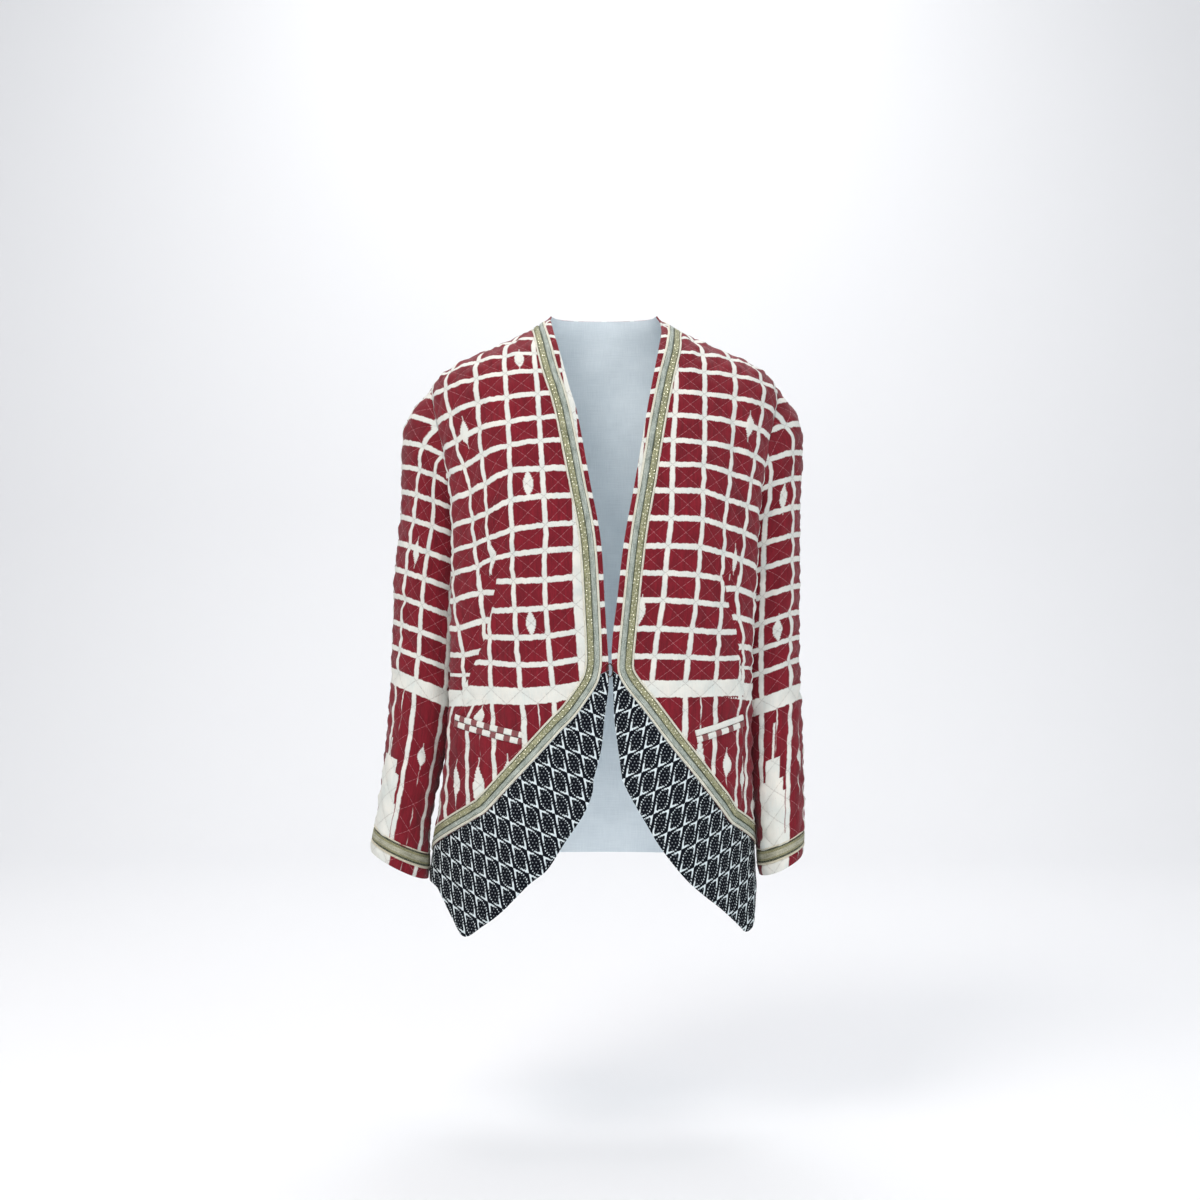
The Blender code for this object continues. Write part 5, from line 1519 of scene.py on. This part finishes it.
def ikat_material(piece):
    """Crimson cotton with cream lines, a plain band, spindles and, on a sleeve, a stepped tree."""
    paint = Paint(f"ikat_{piece}", CELL_MILLIMETRES)
    x, y = paint.x, paint.y
    # The threads were tied and dyed before weaving, so shapes shift a little along each of them
    column = paint.layered(paint.u, COLUMN_DRIFT)
    row = paint.layered(paint.v, ROW_DRIFT)
    above_band = paint.v.above(BAND_FOOT, 0.02)
    level = row.from_line().under(LINE_LEVEL / 2, LINE_BLUR)
    thick = paint.noise(paint.u * 1.7, paint.v * 0.5, 21.0) * 0.16
    upright = column.from_line() - thick * (1 - above_band) * 0.5
    upright = upright.under(LINE_UPRIGHT / 2, LINE_BLUR)
    band = (row - BAND_MIDDLE).size().under(BAND_HALF, LINE_BLUR)
    thin = (column + 0.5).from_line() - paint.noise(paint.u * 2.3, paint.v * 0.9, 27.0) * 0.20
    thin = thin.under(-0.012, LINE_BLUR) * (1 - above_band)
    cream = (level * above_band).most(upright).most(band).most(thin)
    if piece == "front_right":
        strip = column.above(BESIDE_BRAID, LINE_BLUR) * column.under(0.0, LINE_BLUR)
        cream = cream.most(strip * above_band)
    for u, v, half_width, half_height in SPINDLES[piece]:
        away = ((row - v) / half_height).size()
        width = paint.ramp(away, SPINDLE_STEPS)
        inside_spindle = width * half_width - (column - u).size()
        cream = cream.most(inside_spindle.above(LINE_BLUR / 2, LINE_BLUR))
    if piece in TREES:
        middle, steps = TREES[piece]
        foot = TREE_FOOT_ROW
        tip = steps[0][0]
        down = (tip - row) / (tip - foot)
        width = paint.ramp(down, [((tip - at) / (tip - foot), half) for at, half in steps])
        inside_tree = (width - (column - middle).size()).above(LINE_BLUR / 2, LINE_BLUR)
        inside_tree = inside_tree * down.above(0.0, 0.004)
        cream = cream.most(inside_tree)
    slub = paint.noise(x / 0.9, y / 16.0, 11.0, 3.0)
    tone = paint.layered(slub * 1.1 + 0.5, RED_CLOUDS).clamped()
    red = paint.mix(RED_DARK, RED_LIGHT, tone)
    pale = paint.layered(slub * 0.8 + 0.5, CREAM_CLOUDS).clamped()
    white = paint.mix(CREAM_COOL, CREAM_WARM, pale)
    speck = paint.noise(x / 0.8, y / 2.4, 25.0, 1.0).above(0.255, 0.02)
    white = paint.mix(white, SPECK, speck * SPECK_SHARE)
    colour = paint.mix(red, white, cream)
    # Quilting stitches, dashed, along both diagonals of the cells
    first, second = paint.u + paint.v, paint.u - paint.v
    dash = (paint.v * STITCHES).part().under(STITCH_SHARE, 0.1)
    stitch = first.from_line().least(second.from_line()).under(STITCH_HALF, STITCH_BLUR) * dash
    fade = 0.42 + paint.noise(x / 12.0, y / 12.0, 31.0) * 0.8
    thread = paint.mix(STITCH, STITCH_ON_CREAM, cream)
    colour = paint.mix(colour, thread, stitch * fade)
    weave = slub * 2.2 + cream * 0.25 - stitch * 1.4
    return paint.finish(
        colour, 0.88, weave, 0.00022, Sheen_Weight=0.12, Sheen_Roughness=0.5, Specular_IOR_Level=0.25
    )


def navy_material(side):
    """Navy cotton with a white net of leaf-shaped cells, each with a ring and a core of dots."""
    sign = SIDES[side]
    paint = Paint(f"net_{side}", MILLIMETRES)
    x, y = paint.x, paint.y
    (ax, ay), (bx, by) = NET_ACROSS, NET_DOWN
    ax, bx = ax * sign, bx * sign
    area = ax * by - ay * bx
    u, v = paint.layered(x, NET_DRIFT), paint.layered(y, NET_JITTER)
    p = (u * by - v * bx) / area
    q = (v * ax - u * ay) / area
    # From a leaf's lower tip, alpha runs along its steep side and beta along its shallow one
    turn = math.sin(LEAF_STEEP - LEAF_SHALLOW)
    steps = (NET_ACROSS, (-NET_DOWN[0], -NET_DOWN[1]))
    steep = [
        (dy * math.cos(LEAF_SHALLOW) - dx * math.sin(LEAF_SHALLOW)) / turn for dx, dy in steps
    ]
    shallow = [(dx * math.sin(LEAF_STEEP) - dy * math.cos(LEAF_STEEP)) / turn for dx, dy in steps]
    one, other = p.part(), 1 - q.part()
    alpha = one * steep[0] + other * steep[1]
    beta = one * shallow[0] + other * shallow[1]
    far_alpha, far_beta = sum(steep) - alpha, sum(shallow) - beta
    near = alpha.least(beta).least(far_alpha).least(far_beta) * turn
    near = near.least((far_alpha + beta - LEAF_CUTS[0]) * LEAF_CUT_SLOPE)
    near = near.least((alpha + far_beta - LEAF_CUTS[1]) * LEAF_CUT_SLOPE)
    within = near.above(0.1, 0.3)
    white = within * (alpha + beta).least(far_alpha + far_beta).under(LEAF_TIP, 1.0)
    for along, beside in ((alpha, beta), (far_alpha, far_beta)):
        for (width, length, end), run, away in (
            (LEAF_STEEP_ARM, along, beside), (LEAF_SHALLOW_ARM, beside, along),
        ):
            arm = (away * turn).under(width, LEAF_BLUR) * run.under(length, end)
            white = white.most(arm * within)
    dots = ((alpha + beta) / RING_SPACING).wave().above(0.15, 0.5)
    ring = near.above(0.2, 0.4) * near.under(RING_WIDTH, 0.4) * dots
    line = (y / CORE_UP).math("FLOOR")
    core_x = ((x / CORE_ACROSS + line * 0.5).part() - 0.5) * CORE_ACROSS
    core_y = ((y / CORE_UP).part() - 0.5) * CORE_UP
    core = (core_x * core_x + core_y * core_y).under(0.50, 0.3)
    core = core * near.above(CORE_INSET, 0.5) * CORE_SHARE
    white = white.most(ring * 0.9).most(core)
    worn = paint.noise(x / 1.2, y / 2.6, 19.0, 3.0)
    white = (white + worn * 0.9 * white).clamped()
    tone = (paint.noise(x / 1.0, y / 6.0, 23.0, 3.0) * 1.3 + 0.5).clamped()
    navy = paint.mix(NAVY_DARK, NAVY_LIGHT, tone)
    pale = paint.mix(NET_COOL, NET_WARM, tone)
    colour = paint.mix(navy, pale, white)
    weave = white * 0.8 + worn
    return paint.finish(
        colour, 0.85, weave, 0.00022, Sheen_Weight=0.02, Sheen_Roughness=0.5, Specular_IOR_Level=0.10
    )


def lining_material(name, scale):
    """Plain pale cotton, as the inside and every folded edge shows it."""
    paint = Paint(name, scale)
    x, y = paint.x, paint.y
    slub = paint.noise(x / 0.9, y / 20.0, 3.0, 3.0)
    pick = paint.noise(x / 24.0, y / 1.0, 5.0, 3.0)
    tone = paint.layered((slub + pick) * 0.9 + 0.5, LINING_CLOUDS).clamped()
    colour = paint.mix(LINING_DARK, LINING_LIGHT, tone)
    weave = slub + pick
    return paint.finish(colour, 0.9, weave, 0.00016, Sheen_Weight=0.08, Specular_IOR_Level=0.25)


def braid_material(name, bands, turn):
    """Woven braid: stripes across it, each as (where it ends in mm, darkest, lightest colour)."""
    paint = Paint(name, MILLIMETRES)
    x, y = paint.x, paint.y
    across = paint.layered(x, BRAID_DRIFT)
    thread = paint.noise(x / 0.5, y / 4.0, 5.0, 3.0)
    grain = paint.noise(x / 1.1, y / 1.4, 7.0, 3.0)
    twill = ((x * turn + y * 0.72) / 1.5).wave()
    tone = paint.layered(thread * 1.2 + grain * 1.3 + twill * 0.16 + 0.5, BRAID_PATCHES).clamped()
    colour = paint.mix(*bands[0][1:], tone)
    for (start, *_), (_, dark, light) in zip(bands, bands[1:]):
        colour = paint.mix(colour, paint.mix(dark, light, tone), across.above(start, STRIPE_BLUR))
    glint = paint.noise(x / 0.7, y / 1.1, 11.0, 1.0).above(0.15, 0.03)
    colour = paint.mix(colour, GLINT, glint * 0.6)
    weave = twill * 0.7 + thread * 2.0 + grain * 2.4 + (y / 0.9).wave() * 0.4
    roughness = 0.58 - glint * 0.25
    return paint.finish(colour, roughness, weave, 0.00035, Specular_IOR_Level=0.4)


def welt_material(name, blocks, start):
    """A folded strip of the same cloth: cream, with crimson blocks of strength blocks along it."""
    paint = Paint(name, MILLIMETRES)
    x, y = paint.x, paint.y
    slub = paint.noise(y / 0.9, x / 12.0, 3.0, 3.0)
    tone = paint.layered(slub * 1.2 + 0.5, WELT_CLOUDS).clamped()
    white = paint.mix(CREAM_COOL, CREAM_WARM, tone)
    red = paint.mix(RED_DARK, RED_LIGHT, tone)
    place = paint.layered(y / WELT_REPEAT + start, WELT_DRIFT)
    place = place + paint.noise(0.0, y / 9.0, 9.0) * 0.5
    red_share = place.part().above(WELT_CREAM_SHARE, 0.03) * blocks
    colour = paint.mix(white, red, red_share)
    weave = slub * 2
    return paint.finish(colour, 0.88, weave, 0.0002, Sheen_Weight=0.12, Specular_IOR_Level=0.25)


def metal_material(name, dark, light, roughness, metallic):
    """Metal or foil with fine wear, on the place of each point in space."""
    material = bpy.data.materials.new(name)
    material.use_nodes = True
    tree = material.node_tree
    shader = tree.nodes["Principled BSDF"]
    place = tree.nodes.new("ShaderNodeTexCoord")
    noise = tree.nodes.new("ShaderNodeTexNoise")
    noise.inputs["Scale"].default_value = WEAR_SCALE
    noise.inputs["Detail"].default_value = 3.0
    tree.links.new(place.outputs["Object"], noise.inputs["Vector"])
    mix = tree.nodes.new("ShaderNodeMix")
    mix.data_type = "RGBA"
    mix.inputs[6].default_value = (*linear(*dark), 1)
    mix.inputs[7].default_value = (*linear(*light), 1)
    tree.links.new(noise.outputs[0], mix.inputs[0])
    tree.links.new(mix.outputs[2], shader.inputs["Base Color"])
    bump = tree.nodes.new("ShaderNodeBump")
    bump.inputs["Distance"].default_value = WEAR_DEPTH
    tree.links.new(noise.outputs[0], bump.inputs["Height"])
    tree.links.new(bump.outputs[0], shader.inputs["Normal"])
    shader.inputs["Roughness"].default_value = roughness
    shader.inputs["Metallic"].default_value = metallic
    return material


# The jacket

body = Body()
cuts = {side: SideCut(body, side) for side in SIDES}
lining = lining_material("lining_cloth", CELL_MILLIMETRES)
panel_lining = lining_material("lining_panel", MILLIMETRES)
braid_wide = braid_material("braid_wide", BRAID_BANDS, 1.0)
braid_cuff = braid_material("braid_cuff", CUFF_BANDS, -1.0)
sequin = metal_material("sequin_foil", (205, 200, 160), (245, 245, 230), 0.25, 0.85)
steel = metal_material("hook_steel", (40, 28, 26), (96, 70, 62), 0.42, 0.8)
share = np.linspace(0, 1, BRAID_SAMPLES)
braid_profile = bumps(share, *BRAID_RIDGES)
cuff_profile = bumps(share, *CUFF_RIDGES)


for side, cut in cuts.items():
    folds = FOLDS[f"front_{side}"]
    welts = cut.welts()
    plain = [cut.braid_region(), *welts.values()]
    front = Panel(
        front_surface(body), body_middle, cut.front_outline(), chart_of(f"front_{side}"), folds,
        plain, dart=DARTS[f"front_{side}"][1],
    )
    add_cloth(
        f"front_{side}", front, WALL, [ikat_material(f"front_{side}"), lining]
    )
    add_strip(
        f"woven_braid_front_{side}", front, cut.outer, cut.inner, braid_profile, [braid_wide],
        [f"braid_front_{side}"],
    )
    add_sequins(f"sequins_front_{side}", front, cut.outer, cut.inner, SEQUIN_ROWS, sequin)
    for name, region in welts.items():
        half = len(region) // 2
        near, far = region[:half], region[half:][::-1]
        blocks = WELT_BLOCKS[side][name]
        profile = bumps(np.linspace(0, 1, WELT_SAMPLES), (*WELT_PROFILE, WELT_HEIGHT))
        add_strip(
            f"welt_{name}_{side}", front, near, far, profile,
            [welt_material(f"welt_{name}_{side}", blocks, 0.5 if name == "lower" else 0.0)],
            [f"pocket_welt_{name}_{side}"], ends=WELT_END,
        )
    cutaway = Panel(
        front_surface(body), body_middle, cut.cutaway_outline(), metric, folds, quilted=False
    )
    add_cloth(
        f"cutaway_panel_{side}", cutaway, PANEL_WALL, [navy_material(side), panel_lining],
    )
outline, upper, lower = back_outline(body, cuts)
back = Panel(
    back_surface(body), body_middle, outline, chart_of("back"), FOLDS["back"],
    [np.concatenate([upper, lower[::-1]])],
)
add_cloth("back", back, WALL, [ikat_material("back"), lining])
add_strip(
    "woven_braid_back_neck", back, lower, upper, braid_profile, [braid_wide],
    ["braid_back_neck"],
)
add_sequins("sequins_back_neck", back, lower, upper, SEQUIN_ROWS, sequin)
for side in SIDES:
    ring, stations = armhole_loop(body, side)
    sleeve = Sleeve(side, ring)
    outline, low, high = sleeve_outline(sleeve, stations)
    count = max(len(low), len(high))
    low, high = spaced(low, count), spaced(high, count)
    piece = Panel(
        sleeve.point, sleeve.middle, outline, chart_of(f"sleeve_{side}"), FOLDS[f"sleeve_{side}"],
        [np.concatenate([low, high[::-1]])],
    )
    add_cloth(
        f"sleeve_{side}", piece, WALL, [ikat_material(f"sleeve_{side}"), lining],
    )
    add_strip(
        f"woven_braid_cuff_{side}", piece, high, low, cuff_profile, [braid_cuff],
        [f"braid_cuff_{side}"],
    )
for name in ("hook", "eye"):
    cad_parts[name].data.materials.clear()
    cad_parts[name].data.materials.append(steel)


# The studio


def add_light(name, place, target, size, power, colour):
    light = bpy.data.lights.new(name, "AREA")
    light.shape = "DISK"
    light.size = size
    light.energy = power
    light.color = colour
    obj = bpy.data.objects.new(name, light)
    obj.location = place
    obj.rotation_euler = (Vector(target) - Vector(place)).to_track_quat("-Z", "Y").to_euler()
    bpy.context.scene.collection.objects.link(obj)


def add_floor():
    """A pale floor that curves up into the wall behind."""
    turn = np.linspace(0, math.pi / 2, FLOOR_ARC)
    arc = np.column_stack([
        FLOOR_BACK - FLOOR_CURVE + FLOOR_CURVE * np.sin(turn),
        FLOOR_Z + FLOOR_CURVE - FLOOR_CURVE * np.cos(turn),
    ])
    line = np.concatenate([[(-FLOOR_REACH, FLOOR_Z)], arc, [(FLOOR_BACK, FLOOR_Z + FLOOR_REACH)]])
    points = [(x, y, z) for x in (-FLOOR_REACH, FLOOR_REACH) for y, z in line]
    count = len(line)
    faces = [(i, i + 1, i + 1 + count, i + count) for i in range(count - 1)]
    mesh = bpy.data.meshes.new("studio_floor")
    mesh.from_pydata(points, [], faces)
    mesh.shade_smooth()
    material = bpy.data.materials.new("studio_floor")
    material.use_nodes = True
    shader = material.node_tree.nodes["Principled BSDF"]
    shader.inputs["Base Color"].default_value = FLOOR_COLOUR
    shader.inputs["Roughness"].default_value = FLOOR_ROUGHNESS
    mesh.materials.append(material)
    obj = bpy.data.objects.new("studio_floor", mesh)
    bpy.context.scene.collection.objects.link(obj)


add_floor()
for settings in LIGHTS:
    add_light(*settings)

world = bpy.data.worlds.new("studio")
world.use_nodes = True
world.node_tree.nodes["Background"].inputs["Color"].default_value = WORLD_COLOUR
world.node_tree.nodes["Background"].inputs["Strength"].default_value = WORLD_STRENGTH
bpy.context.scene.world = world
bpy.context.scene.view_settings.view_transform = "Standard"

lens = bpy.data.cameras.new("camera")
lens.lens = CAMERA_LENS
lens.sensor_width = SENSOR_WIDTH
camera = bpy.data.objects.new("camera", lens)
camera.location = CAMERA_PLACE
camera.rotation_euler = (math.pi / 2, 0, 0)
bpy.context.scene.collection.objects.link(camera)
bpy.context.scene.camera = camera
